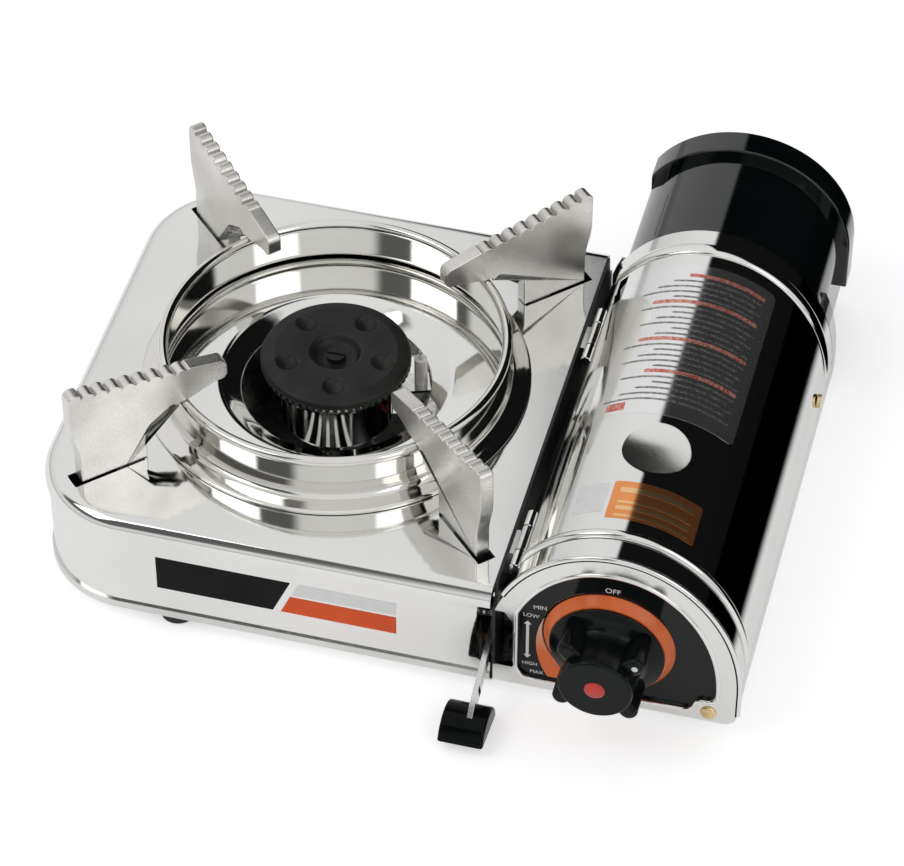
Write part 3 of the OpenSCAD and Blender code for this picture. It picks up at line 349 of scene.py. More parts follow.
POLISHED = finish("polished_steel_sheet", (0.86, 0.86, 0.84), (0.8, 0.8, 0.785), (0.035, 0.07), 18,
                  0.012, 700, metallic=1, grain=(1, 14, 1), wave=0.05)
DIMPLE = finish("pressed_dimple_steel", (0.86, 0.86, 0.83), (0.8, 0.8, 0.77), (0.2, 0.26), 18,
                0.012, 700, metallic=1)
SATIN = finish("bright_rolled_steel", (0.78, 0.785, 0.77), (0.68, 0.68, 0.67), (0.13, 0.21), 30,
               0.03, 500, metallic=1, grain=(1, 1, 25), wave=0.03)
TURNED = finish("spun_polished_steel", (0.83, 0.82, 0.79), (0.76, 0.75, 0.715), (0.04, 0.085), 24,
                0.012, 300, metallic=1, grain=(1, 1, 40))
SUPPORT = finish("tumbled_support_steel", (0.8, 0.785, 0.755), (0.66, 0.645, 0.61), (0.26, 0.38),
                 45, 0.10, metallic=1)
SHIELD = finish("black_shield_coat", (0.012, 0.012, 0.013), (0.03, 0.03, 0.03), (0.25, 0.4), 60,
                0.06, 1200)
PANEL = finish("gloss_black_panel", (0.004, 0.006, 0.0058), (0.008, 0.0105, 0.01), (0.07, 0.12),
               40, 0.008, 900, specular=0.22)
PLASTIC = finish("moulded_black_plastic", (0.003, 0.0042, 0.004), (0.006, 0.0082, 0.0078),
                 (0.13, 0.2), 70, 0.035, 2200, specular=0.17)
GRIP = finish("gloss_black_grip", (0.002, 0.003, 0.0028), (0.004, 0.0056, 0.0052), (0.06, 0.1), 70,
              0.012, 2200, specular=0.1)
ENAMEL = finish("gloss_black_enamel", (0.0015, 0.003, 0.003), (0.003, 0.005, 0.005), (0.05, 0.1),
                30, 0.012, 900, wave=0.03, coat=0.5)
CAP = finish("black_burner_coat", (0.009, 0.01, 0.01), (0.02, 0.02, 0.018), (0.34, 0.48), 90, 0.12,
             1700, specular=0.3)
FACE = finish("bright_front_sheet", (0.86, 0.86, 0.84), (0.8, 0.8, 0.785), (0.11, 0.16), 18, 0.012,
              700, metallic=1, grain=(1, 14, 1), wave=0.05)
BRASS = finish("bright_brass", (0.83, 0.66, 0.36), (0.62, 0.45, 0.2), (0.14, 0.26), 200, 0.04,
               metallic=1)
COPPER = finish("drawn_copper", (0.75, 0.4, 0.26), (0.5, 0.24, 0.14), (0.2, 0.35), 90, 0.05, 900,
                metallic=1)
ZINC = finish("cast_zinc", (0.5, 0.5, 0.51), (0.36, 0.36, 0.37), (0.38, 0.52), 120, 0.18, 1400,
              metallic=1)
RUBBER = finish("matt_rubber", (0.018, 0.018, 0.019), (0.032, 0.031, 0.03), (0.65, 0.85), 150, 0.2,
                1800)
CERAMIC = finish("glazed_ceramic", (0.82, 0.8, 0.75), (0.7, 0.67, 0.6), (0.12, 0.2), 180, 0.03,
                 900, coat=0.4)
SLEEVE = finish("red_lead_sleeve", (0.45, 0.035, 0.03), (0.3, 0.02, 0.018), (0.4, 0.55), 160, 0.06)
ORANGE = finish("orange_ring_gloss", (0.86, 0.18, 0.042), (0.76, 0.15, 0.036), (0.18, 0.28), 80,
                0.03, coat=0.1, specular=0.35)
BADGE = finish("red_badge_gloss", (0.74, 0.05, 0.036), (0.62, 0.036, 0.028), (0.08, 0.12), 250,
               0.02, 1200, coat=0.2, specular=0.35)
WHITE_PRINT = finish("white_print", (0.93, 0.94, 0.93), (0.88, 0.89, 0.88), (0.4, 0.5), 300)
BLACK_PRINT = finish("black_label", (0.005, 0.005, 0.006), (0.009, 0.009, 0.01), (0.2, 0.28),
                     specular=0.08)
ORANGE_PRINT = finish("orange_label", (0.9, 0.125, 0.03), (0.84, 0.11, 0.026), (0.22, 0.3),
                      specular=0.15)
ORANGE_FILM = finish("orange_label_film", (0.92, 0.36, 0.13), (0.86, 0.32, 0.11), (0.09, 0.13), 60,
                     0.012, metallic=0.9)
FILM = finish("frosted_label_film", (0.9, 0.9, 0.89), (0.86, 0.865, 0.86), (0.09, 0.13), 60, 0.012,
              metallic=0.96)
PALE_FILM = finish("pale_label_film", (0.95, 0.6, 0.3), (0.92, 0.56, 0.27), (0.1, 0.15), 60, 0.012,
                   metallic=0.92)
DARK_PRINT = finish("dark_label_print", (0.22, 0.22, 0.22), (0.42, 0.42, 0.42), (0.22, 0.3), 700,
                    metallic=0.8, patch=(0.42, 0.58))
RED_PRINT = finish("red_label_print", (0.66, 0.15, 0.1), (0.8, 0.42, 0.36), (0.22, 0.3), 700,
                   metallic=0.6, patch=(0.42, 0.58))
# Crescent print: orange ink, with a cream second colour that is a painted highlight on its upper
# part
CRESCENT = finish("crescent_print_painted_highlight", (0.95, 0.205, 0.05), (0.95, 0.78, 0.58), (0.2, 0.28),
                  specular=0.3)

# Between these heights the crescent turns from orange to the cream of its painted highlight
CRESCENT_HIGHLIGHT_HEIGHTS = 0.025, 0.046                           # heights in metres; paler above them
tree = CRESCENT.node_tree
height = put(tree, "SeparateXYZ", {0: tree.nodes["Texture Coordinate"].outputs["Object"]})
wire(tree.nodes["Mix"], {"Factor": span(tree, height.outputs["Z"], *CRESCENT_HIGHLIGHT_HEIGHTS)})

FINISH_OF_SLOT = {
    "polished_steel": POLISHED, "satin_steel": SATIN, "support_steel": SUPPORT,
    "dark_shield": SHIELD, "black_panel": PANEL, "orange_ring": ORANGE, "brass": BRASS,
    "cast_zinc": ZINC, "black_plastic": PLASTIC, "copper": COPPER, "burner_enamel": CAP,
    "ceramic": CERAMIC, "lead_sleeve": SLEEVE, "rubber": RUBBER, "red_badge": BADGE,
    "black_enamel": ENAMEL}
slot_of_node = {p["node"]: p["material_slot"] for p in frame["record"]["subparts"]}
for node_name, node in frame["nodes"].items():
    node.material_slots[0].material = FINISH_OF_SLOT[slot_of_node[node_name]]
frame["nodes"]["burner_base"].material_slots[0].material = TURNED

# ------------ deck and walls


def side_outline(inset, n_front=26, n_arc=26, n_left=18):
    """Plan of the burner side from its front right end round to its rear right end, with the
    outward normal at each point: straight runs joined by two quarter circles."""
    r = CORNER_R - inset
    front = np.linspace([DECK_RIGHT, inset], [LEFT + CORNER_R, inset], n_front)[:-1]
    rear = np.linspace([LEFT + CORNER_R, DEPTH - inset], [DECK_RIGHT, DEPTH - inset], n_front)[1:]
    left = np.linspace([LEFT + inset, CORNER_R], [LEFT + inset, DEPTH - CORNER_R], n_left)[1:-1]
    c1 = arc(LEFT + CORNER_R, CORNER_R, r, 270, 180, n_arc)
    c2 = arc(LEFT + CORNER_R, DEPTH - CORNER_R, r, 180, 90, n_arc)
    pts = chain(front, c1, left, c2, rear)
    nrm = on_circle(chain(
        np.full(len(front), 270), np.linspace(270, 180, n_arc + 1), np.full(len(left), 180),
        np.linspace(180, 90, n_arc + 1), np.full(len(rear), 90)))
    return pts, nrm


# Funnel round the burner's hole, as (radius, height) over the deck: its upper and under skin
FUNNEL = [[(36.9, -5.3), (36.4, -5.05), (36.2, -4.6), (36.3, -4.25), (36.7, -4.0), (37.8, -3.5),
           (40.5, -2.0), (43.2, -0.5), (44.2, -0.12), (45.6, 0)],
          [(37.0, -5.25), (37.1, -5.2), (37.2, -5.15), (37.3, -5.1), (37.5, -5.05), (38.4, -4.6),
           (40.9, -3.1), (43.6, -1.55), (44.6, -1.1), (46.2, -1)]]


def deck_sheet():
    """Deck as one pressed sheet. Straight rulings run from the burner's hole to the outline;
    beside each slot two rulings lie parallel to it, so that its sides are straight. Funnel,
    flat, quarter roll (E + r sin a n, roll height + r cos a) and hem follow in rows."""
    half_w, slot_in, slot_out, hole = 3.6, 83.4, 112.2, 45.0
    hem = ((0, 1.7), (-0.25, 2.0))
    pts, nrm = side_outline(ROLL_R - SHEET)
    right = np.linspace(pts[-1], pts[0], 32)[1:-1]
    pts, nrm = chain(pts, right), chain(nrm, np.tile([1.0, 0], (len(right), 1)))
    rolled = np.arange(len(pts)) < len(pts) - len(right)

    def by_bearing(points, *others):
        ang = np.degrees(np.arctan2(points[:, 1], points[:, 0]))
        order = np.argsort(ang)
        return [v[order] for v in (ang, points, *others)]
    ang, rel, nrm, rolled = by_bearing(pts - BURNER, nrm, rolled)
    lean = math.degrees(math.asin(half_w / hole))
    found = []
    for axis in (-135, -45, 45, 135):
        e = on_circle(axis)
        t = np.array([-e[1], e[0]])
        for s in (-half_w, half_w):
            side = rel @ t - s
            nxt = np.roll(side, -1)
            hit = np.where((side * nxt <= 0) & (rel @ e > 0))[0][0]
            k = side[hit] / (side[hit] - nxt[hit])
            j = (hit + 1) % len(rel)
            point = rel[hit] + k * (rel[j] - rel[hit])
            found.append((point, nrm[hit], rolled[hit] and rolled[j],
                          axis + math.copysign(lean, s), point @ e))
    side_at, side_nrm, side_rolled, key_start, reach = (np.array(v) for v in zip(*found))
    tag = np.arange(len(rel) + len(found)) - len(rel)
    ang, rel, nrm, rolled, tag = by_bearing(
        chain(rel, side_at), chain(nrm, side_nrm), chain(rolled, side_rolled), tag)
    keys = [np.where(tag == k)[0][0] for k in range(len(found))]
    first = math.sqrt(hole ** 2 - half_w ** 2)

    def between_sides(v, turn=0):
        """Values given at the slots' sides, spread evenly over the bearings between them."""
        return np.interp(ang, *(chain([w[-1] - t], w, [w[0] + t])
                                for w, t in ((ang[keys], 360), (v, turn))))
    unit = on_circle(between_sides(key_start, 360))
    part_in = between_sides((slot_in - first) / (reach - first))
    part_out = between_sides((slot_out - first) / (reach - first))
    at_hole, past_hole = unit * hole, unit * (hole + 2)
    flat_rows = ((part_in / 3, past_hole), (part_in * 2 / 3, past_hole), (part_in, at_hole),
                 ((part_in + part_out) / 2, past_hole), (part_out, at_hole),
                 (np.ones_like(part_in), past_hole))

    def rows(skin):
        out = [(unit * r, DECK + z) for r, z in FUNNEL[skin]]
        out += [(start + (rel - start) * f[:, None], DECK - skin * SHEET)
                for f, start in flat_rows]
        r = ROLL_R - skin * SHEET
        out += [(rel + nrm * r * s, ROLL + r * c)
                for c, s in on_circle(np.linspace(0, 90, 10)[1:])]
        out += [(rel + nrm * (r + d * (1 - 2 * skin)), ROLL - drop) for d, drop in hem]
        return np.stack([level(BURNER + p, h) for p, h in out])
    top, under = rows(0), rows(1)
    keep = np.ones((top.shape[1], top.shape[0] - 1), bool)
    flat = len(FUNNEL[0])
    keep[:, flat + 5:] &= (rolled & np.roll(rolled, -1))[:, None]
    for a, b in zip(keys[0::2], keys[1::2]):
        keep[a:b, flat + 2:flat + 4] = False
    return shell(top.transpose(1, 0, 2), under.transpose(1, 0, 2), keep, wrap_u=True)


def wall_strip():
    """Front, left and rear walls: the plan's outline carried up from the tray to the roll, and
    round the lever's window a patch ruled between its edge and the strip's end."""
    patch_x, edge_x, edge_r = -60.0, -50.5, 2.0
    pts, nrm = side_outline(0)
    pts = chain([[patch_x, 0.0]], pts[(pts[:, 0] < patch_x - 0.1) | (pts[:, 1] > DEPTH / 2)])
    nrm = chain([[0.0, -1.0]], nrm[-(len(pts) - 1):])
    zs = np.array([FLOOR, FLOOR + 8, 20, 32, 40, ROLL])
    grid = np.concatenate([np.repeat(pts[:, None], len(zs), 1),
                           np.broadcast_to(zs[None, :, None], (len(pts), len(zs), 1))], 2)
    strip = shell(grid, grid - level(nrm, 0)[:, None] * SHEET)
    x1 = DECK_RIGHT
    far = chain(resample([[x1, ROLL], [patch_x, ROLL]], 6)[:-1],
                resample([[patch_x, ROLL], [patch_x, FLOOR]], 12)[:-1],
                resample([[patch_x, FLOOR], [x1, FLOOR]], 6))
    near = chain(
        [[x1, WINDOW_HIGH]], arc(edge_x + edge_r, WINDOW_HIGH - edge_r, edge_r, 90, 180, 6),
        resample([[edge_x, WINDOW_HIGH - 2.5], [edge_x, WINDOW_LOW + 0.5]], 8)[1:-1],
        arc(edge_x + edge_r, WINDOW_LOW + edge_r, edge_r, 180, 270, 6), [[x1, WINDOW_LOW]])
    near = resample(near, len(far))
    k = np.linspace(0, 1, 4)[:, None, None]
    front = upright(near[None] * (1 - k) + far[None] * k)
    return join(strip, shell(front, front + [0, SHEET, 0]))


piece("deck", deck_sheet(), "stove_body", POLISHED, ["top_deck"], sharp=50)
piece("burner_side_walls", wall_strip(), "stove_body", POLISHED, ["side_shell"])

# ------------ arch of the bay


def arch(t, out):
    """Point of the arch in X and Z. t runs in degrees round half an ellipse; below 0 and
    above 180 it runs down the straight legs in millimetres. out widens both half axes."""
    t, out = np.broadcast_arrays(np.asarray(t, float), np.asarray(out, float))
    a = np.radians(np.clip(t, 0, 180))
    x = (HALF + out) * np.cos(a)
    z = SPRING + (RISE + out) * np.sin(a) + np.minimum(t, 0) - np.maximum(t - 180, 0)
    return x, z


def arch_path(t):
    """Path along the arch at y 0 and its outward direction."""
    path, wider = (upright(np.stack(arch(t, out), -1)) for out in (0, 1))
    return path, wider - path


def angle_at(z, left=False):
    """Angle in degrees at which the arch passes height z."""
    a = math.degrees(math.asin((z - SPRING) / RISE))
    return 180 - a if left else a


def dish(x, y):
    """(x / a)^2 + (y / b)^2 from the middle of the finger dimple: 1 on its edge."""
    return ((x - DIMPLE_X) / DIMPLE_A) ** 2 + ((y - DIMPLE_Y) / DIMPLE_B) ** 2


def lid_shell():
    """Lid as one pressed sheet over (t, y): the arch raised by two half-round ribs
    h sqrt(1 - s^2), and pressed down at the finger dimple by deep (1 - e), e from dish(),
    with a small rim from a soft maximum. A slot and the notches of the hinge stay open."""
    ribs, rib_high = [(14.1, 1.8), (169.3, 3.0)], 1.4
    slot_y, notch, soft = (150, 164), 6.3, 0.09
    t0, t1 = LID_HEM - SPRING, angle_at(HINGE_Z, True)
    slot_from, slot_to, notch_from = (angle_at(z, True) for z in (64.5, 60.5, 56.9))
    t = np.unique(chain(
        [t0, t0 + 0.25], np.arange(0, 70, 2), np.arange(70, 109, 0.5), np.arange(110, 147, 2),
        [slot_from, slot_to, notch_from, t1 - 0.3, t1]))
    y = np.unique(np.round(chain(
        [LID_Y0, LID_Y0 + 0.25, *slot_y, LID_Y1 - 0.3, LID_Y1],
        [hy + d for hy in HINGE_YS for d in (-notch, notch)],
        *[c + w * on_circle(np.linspace(-90, 90, 15))[:, 1] for c, w in ribs],
        np.arange(45.5, 75, 0.5), np.arange(78, 130, 9)), 4))
    tt, yy = np.meshgrid(t, y, indexing="ij")
    fade = step((tt - t0 - 1.5) / 6) * step((t1 - 2 - tt) / 6)
    rise = fade * sum(rib_high * np.sqrt(np.clip(1 - ((yy - c) / w) ** 2, 0, 1)) for c, w in ribs)

    def skin(depth):
        x, z = arch(tt, rise - depth)
        e = dish(x, yy)
        press = soft * np.logaddexp(0, DIMPLE_DEEP * (1 - e) / soft)
        press = np.where((e < 1.3) & (tt > 60) & (tt < 120), press, 0)
        return np.stack([x, yy, z - press], -1)

    def opening(ta, tb, ya, yb):
        mt, my = (t[1:] + t[:-1]) / 2, (y[1:] + y[:-1]) / 2
        return np.outer((mt > ta) & (mt < tb), (my > ya) & (my < yb))
    keep = ~opening(slot_from, slot_to, *slot_y)
    for hy in HINGE_YS:
        keep &= ~opening(notch_from, t1, hy - notch, hy + notch)
    return shell(skin(0.0), skin(SHEET), keep)


def knuckles(offsets, length, bore):
    """Hinge knuckles: eased tubes about the hinge's line, one at each offset from a hinge."""
    r, e = 2.2, 0.25
    ring = [[bore, 0], [r - e, 0], [r, e], [r, length - e], [r - e, length], [bore, length]]
    return join(*[turned(ring, (HINGE_X, hy + d, HINGE_Z), "y", 40)
                  for hy in HINGE_YS for d in offsets])


lid_obj = piece("lid_shell", lid_shell(), "bay_lid", POLISHED, ["lid"], sharp=45)
lid_obj.data.materials.append(DIMPLE)
for face in lid_obj.data.polygons:
    at = np.array(face.center) * 1000 - SHIFT
    if dish(at[0], at[1]) < DIMPLE_PART and at[2] > LID_UPPER:
        face.material_index = 1
piece("lid_knuckles", knuckles((-14.3, 6.3), 8, 1.06), "bay_lid", POLISHED)

# Opening of the front face: the arch at IN inside the outline, a left edge, a foot and a step
IN, OPEN_LEFT, OPEN_RIGHT, OPEN_LOW, STEP_HIGH = -8.2, -34.9, 38.8, 10.9, 17.0
STEP_A, STEP_B, STEP_C = [29.9, OPEN_LOW], [31.5, STEP_HIGH], [OPEN_RIGHT, STEP_HIGH]
FOOT_R, STEP_R, SIDE_R = 6.5, 3.0, 4.0


def panel_edge():
    """Opening of the front face, eased at its corners."""
    end = 180 - math.degrees(math.acos(-OPEN_LEFT / (HALF + IN)))
    line = np.stack(arch(np.linspace(0, end, 90), IN), -1)
    radii = chain(np.full(len(line) - 1, 0.01), [STEP_R, FOOT_R, STEP_R, STEP_R, SIDE_R])
    return fillet(chain(line, [[OPEN_LEFT, OPEN_LOW], STEP_A, STEP_B, STEP_C]), radii, 13)


def face_plate():
    """Polished front face: a flat ring ruled between the arch's outline and the opening, with
    the notch for the lever in its left side. Each run has as many points on both lines."""
    def bend(a, corner, b, r):
        return fillet([a, corner, b], [0, r, 0], 13)[13:26]

    leg_x, notch_x, foot_z = -44.3, -37.0, 6.0
    arch_out = np.stack(arch(np.linspace(-11.7, angle_at(WINDOW_HIGH, True), 200), 0), -1)
    arch_in = np.stack(arch(np.linspace(0, 154.1, 200), IN), -1)
    left_high, left_mid, left_low = [OPEN_LEFT, 40], [OPEN_LEFT, 18.5], [OPEN_LEFT, 17.4]
    runs = [
        (arch_out, chain([[OPEN_RIGHT, 21], [OPEN_RIGHT, 22]], arch_in), 90),
        ([[-43.8, WINDOW_HIGH], [-40, WINDOW_HIGH], [notch_x, 38.5]],
         [arch_in[-1], left_high], 9),
        ([[notch_x, 38.5], [notch_x, WINDOW_LOW]], [left_high, left_mid], 5),
        ([[notch_x, WINDOW_LOW], [leg_x, WINDOW_LOW], [leg_x, foot_z]],
         [left_mid, left_low], 9),
        ([[leg_x, foot_z], [27, foot_z]], chain(
            bend(left_low, [OPEN_LEFT, OPEN_LOW], [-28, OPEN_LOW], FOOT_R),
            [[25, OPEN_LOW]]), 60),
        (chain([[27, foot_z]], arc(42, 11, 5, 270, 360, 10)), chain(
            [[25, OPEN_LOW]], bend([20, OPEN_LOW], STEP_A, STEP_B, STEP_R),
            bend(STEP_A, STEP_B, STEP_C, STEP_R),
            bend(STEP_B, STEP_C, [OPEN_RIGHT, 24], SIDE_R)), 60)]
    outer = chain(*(resample(a, k)[:-1] for a, b, k in runs))
    inner = chain(*(resample(b, k)[:-1] for a, b, k in runs))
    return loft(np.stack([upright(outer * (1 - share) + inner * share, y) for share, y in (
        (0, 0), (0.3, 0), (0.7, 0), (1, 0), (1, SHEET), (0, SHEET))]), ring=True)


def rim_of(outline, section):
    """Small section carried round a closed outline of the front face: the first number lies
    along the outward normal, the second along Y."""
    p = spaced(outline, 0.02)
    t = np.roll(p, -1, 0) - np.roll(p, 1, 0)
    t /= np.linalg.norm(t, axis=1)[:, None]
    return swept(section, upright(p), upright(np.stack([t[:, 1], -t[:, 0]], -1)), ring=True)


def front_arch():
    """Band behind the face and the rolled bead on its front edge, carried along the arch."""
    t_band = chain([LID_HEM - SPRING], np.linspace(0, angle_at(47.5, True), 110))
    t_bead = chain([-11.7, -6], np.linspace(0, angle_at(51.5, True), 110))
    band = fillet([[-SHEET, 0.6], [-SHEET, 11.5], [0, 11.5], [0, 0.6]], [0.1, 0.3, 0.3, 0.1], 4)
    bead = chain([[-0.6, 0.0]], [[0, 1.1]] + HALF_ROUND[:, ::-1] * [1.2, -1.1], [[-0.6, 2.2]])
    return join(swept(band, *arch_path(t_band)), swept(bead, *arch_path(t_bead)))


HALF_ROUND = on_circle(np.linspace(0, 180, 13))
RIM_W, RIM_OUT = 1.7, 0.8                            # rim of the panel: width and relief
half_round = chain([[0, 0.3]], [[RIM_W / 2, 0]] - HALF_ROUND * [RIM_W / 2, RIM_OUT],
                   [[RIM_W, 0.3]])
piece("front_face", face_plate(), "stove_body", FACE, ["front_frame"])
piece("front_arch_band", front_arch(), "stove_body", POLISHED)
piece("panel_rim", rim_of(panel_edge(), half_round), "stove_body", POLISHED)

# ------------ trivet


def wind_ring():
    """Spun ring: a wall that flares into a flat foot, and a rolled rim on top of the wall."""
    w, foot, rim_r, bz = 66.2, 74.2, 2.0, 18.4
    wall = fillet([[w, bz], [w, 4.5], [w + 0.6, 2.9], [w + 2, 1.9], [foot - 0.8, 1.2],
                   [foot, 0.8], [foot, 0], [foot - 0.6, 0], [w + 1.8, 0.8], [w - 0.2, 1.6],
                   [w - 1, 3.4], [w - 1, bz]],
                  [0.01, 1.2, 0.9, 1.6, 0.5, 0.25, 0.2, 0.2, 1.2, 0.9, 0.8, 0.01], 5)
    rim = arc(w - 1.2, bz, rim_r, 0, 360, 32)[:-1]
    return join(*[turned(line, (*BURNER, SEAT), n=192) for line in (wall, rim)])


def support_outline():
    """Side view of a pan support: leg, tab, slanted outer edge, and a top edge that falls
    inwards. Its teeth are arcs, z = top - R + sqrt(R^2 - d^2) with d from a tooth's middle."""
    def top(r):
        return 44.4 - 10.4 * (112 - r) / 61.6

    first, last, count, under = 65.7, 103.8, 8, 24.2
    pitch = (last - first) / (count - 1)
    r_t = 0.55 * pitch
    r = np.arange(last + pitch / 2 - 0.1, first - pitch / 2, -0.27)
    near = first + np.clip(np.round((r - first) / pitch), 0, count - 1) * pitch
    hill = top(near) - r_t + np.sqrt(np.clip(r_t ** 2 - (r - near) ** 2, 0, None))
    teeth = np.stack([r, hill], -1)
    out_r, in_r = last + pitch / 2 + 0.3, first - pitch / 2 - 0.3
    leg = [[81.8, 0], [83.8, 0], [83.8, -4], [93.8, -4], [93.8, 0], [109.2, 0], [109.2, 14],
           [112, 25.2]]
    tip = arc(109, 41, 3, 0, 90, 6)
    nose = arc(50.4, top(50.4) - 3.9, 3.4, 90, 180, 7)
    back = [[47, under + 1.6], [48.6, under], [52.6, under], [64, 20.6], [67.3, 20.6],
            [67.6, 19.0], [70.6, 21], [80.6, 15], [81.8, 11.2]]
    line = chain(leg, tip, [[out_r, top(out_r)]], teeth, [[in_r, top(in_r)]], nose, back)
    radii = chain([0.6, 0.4, 0.6, 0.6, 0.4, 0.6, 3, 3], np.full(len(tip), 0.01), [0.5],
                  np.full(len(teeth), 0.01), [0.5], np.full(len(nose), 0.01),
                  [0.8, 0.8, 1.5, 1.2, 0.3, 0.3, 1, 1.5, 1.5])
    return spaced(fillet(line, radii, 4), 0.06)


def support(i):
    """Pan support i: its outline with a thickness, turned about the burner by 45 + 90 i
    degrees."""
    half = 2.8
    u, v = on_circle([45 + 90 * i, 135 + 90 * i])
    return slab(support_outline(), -half, half, 0.55, lambda p, z: np.concatenate(
        [BURNER + p[:, :1] * u + z * v, p[:, 1:] + SEAT], 1))


piece("wind_guard_ring", wind_ring(), "trivet", TURNED, ["wind_ring"], 50)
for i in range(1, 5):
    piece(f"toothed_support_{i}", support(i), "trivet", SUPPORT,
          [f"pan_support_{i}"], 30)

# ------------ burner cap


def burner_cap():
    """Cap over (ring, angle): a turned profile whose top is pressed down by five balls, and
    whose lower rim is pulled in at each port."""
    base, high = DECK + 7.0, 5.8
    ports, port_r, ball_r, ball_ring = 60, 26.4, 5.4, 19.0
    r_fine = np.arange(10, 27.4, 0.45)
    line = chain(
        [[0, 2.4], [4, 2.4], [7.4, 2.4], [8.2, 2.9], [8.9, 4.4], [9.5, 5.3]],
        np.stack([r_fine, np.interp(r_fine, [10, 16, 23.6, 27.4], [5.62, 5.72, 5.8, 5.1])], -1),
        [[28.1, 4.5], [28.55, 3.7], [28.6, 3.2], [28.6, 2.7], [28.6, 2.4], [28.6, 0.8],
         [27.8, 0], [23.4, 0], [22.4, 2.2], [11.6, 2.2], [9.6, 0.6], [0, 0.6]])
    n = 720
    a = np.arange(n) / n * 2 * np.pi
    r = np.broadcast_to(line[:, 0], (n, len(line))).copy()
    z = np.broadcast_to(line[:, 1], (n, len(line))).copy()
    upper = np.arange(len(line)) < len(r_fine) + 8
    port = np.abs(((a * ports / (2 * np.pi) + 0.5) % 1) - 0.5) < 0.2
    notch = port[:, None] & (line[:, 1] <= 2.4) & (line[:, 0] > 27)
    r = np.where(notch, port_r, r)
    x, y = r * np.cos(a)[:, None], r * np.sin(a)[:, None]
    for k in range(5):
        cx, cy = ball_ring * on_circle(72 * k - 4)
        gone = ball_r ** 2 - (x - cx) ** 2 - (y - cy) ** 2
        ball = high + 3.1 - np.sqrt(np.clip(gone, 0, None))
        press = 0.1 * np.logaddexp(0, (z - ball) / 0.1)
        z = z - np.where((gone > 0) & upper, press, 0)
    return loft(np.stack([BURNER[0] + x, BURNER[1] + y, base + z], -1), ring=True)


piece("flame_cap", burner_cap(), "stove_body", CAP, ["burner_cap"], 40)

# ------------ rear cover


COVER_R, COVER_Z, COVER_LEFT, COVER_LOW = 40.4, 36.8, 37.2, 8.0
COVER_Y0, COVER_Y1, COVER_T = 168.0, 240.0, 1.2


def cover_shell():
    """Skin of the rear cover over (round, y): a leg, an arc about the cover's centre and a flat
    left side, with a slit cut along it. Its rear edge is drawn in by a soft bend."""
    slit = 133.5
    gap = math.degrees(1 / COVER_R)
    turn = 180 - math.degrees(math.acos(COVER_LEFT / COVER_R))
    t = np.unique(chain(np.arange(0, turn, 2.5), [slit - gap, slit + gap, turn]))
    low = [COVER_LOW, COVER_LOW + 0.3, 15, 25]
    y = np.array([COVER_Y0, COVER_Y0 + 0.3, 177, 186, 211.5, 228, COVER_Y1 - 0.9,
                  COVER_Y1 - 0.45, COVER_Y1 - 0.12, COVER_Y1])
    soft = np.array([0.25, 0, 0, 0, 0, 0, 0, 0.12, 0.35, 0.8])

    def skin(d):
        a = np.radians(t)
        r = COVER_R - d
        left = COVER_LEFT - d
        x = np.maximum(r * np.cos(a), -left)
        z_arc = COVER_Z + r * np.sin(a)
        top = COVER_Z + math.sqrt(r ** 2 - left ** 2)
        z_arc[-1] = top
        z_wall = np.linspace(top, COVER_LOW, 7)[1:]
        xs = chain([r] * len(low), x, [-left] * len(z_wall))
        zs = chain(low, z_arc, z_wall)
        n = np.stack([xs, np.maximum(zs - COVER_Z, 0)], -1)
        n /= np.linalg.norm(n, axis=1)[:, None]
        n[-len(z_wall):] = [-1, 0]
        pull = soft if d == 0 else soft * 0
        x2 = xs[:, None] - n[:, :1] * pull
        z2 = zs[:, None] - n[:, 1:] * pull
        return np.stack([x2, np.broadcast_to(y, x2.shape), z2], -1)
    outer, inner = skin(0), skin(COVER_T)
    keep = np.ones((outer.shape[0] - 1, len(y) - 1), bool)
    keep[len(low) + int(np.argmin(np.abs(t - (slit - gap)))), 3] = False
    return shell(outer, inner, keep)


def cover_flange():
    """Flange round the cover's rear end: a section with an eased front edge carried from the
    right leg round the arc, and cut off upright where it meets the flat left side."""
    reach, front, foot = 3.6, COVER_Y1 - 12, [19.0, 28.0]
    cut_out, cut_in = (180 - math.degrees(math.acos(COVER_LEFT / (COVER_R + d)))
                       for d in (reach, 0))
    bearings = np.linspace(0, cut_out, 60)

    def line(r, last):
        bow = on_circle(np.append(bearings, last)) * r + [0, COVER_Z]
        return upright(chain([[r, z] for z in foot], bow))
    path, edge = line(COVER_R, cut_in), line(COVER_R + reach, cut_out + 0.01)
    section = fillet([[-0.6, front], [reach, front], [reach, COVER_Y1], [-0.6, COVER_Y1]],
                     [0.05, 0.9, 1.3, 0.05], 6)
    return swept(section, path, (edge - path) / reach)


def cover_end():
    """End wall of the rear cover: columns between the floor line and the arc, with five
    upright air slots whose round ends bend the rows."""
    r, w, lo, hi = COVER_R - 0.7, 1.75, 20.55, 41.05
    mids = np.arange(-2, 3) * 9.0
    x = np.unique(np.round(chain(
        np.clip(-r * np.cos(np.radians(np.arange(0, 181, 5))), 0.7 - COVER_LEFT, None),
        *[m + w * on_circle(np.linspace(-90, 90, 11))[:, 1] for m in mids]), 4))
    d = np.abs(x[:, None] - mids).min(1)
    bulge = np.sqrt(np.clip(w ** 2 - d ** 2, 0, None))
    z3 = COVER_Z + np.sqrt(np.clip(r ** 2 - x ** 2, 0, None))
    z1 = lo - bulge
    z2 = np.minimum(hi + bulge, z1 + (z3 - z1) * 0.8)
    zs = np.stack([np.full_like(x, COVER_LOW), z1, z2, z3], -1)
    grid = upright(np.stack([np.broadcast_to(x[:, None], zs.shape), zs], -1), COVER_Y1 - 0.1)
    mid = (x[1:] + x[:-1]) / 2
    keep = np.ones((len(x) - 1, 3), bool)
    keep[np.abs(mid[:, None] - mids).min(1) < w, 1] = False
    return shell(grid, grid - [0, 1.1, 0], keep)


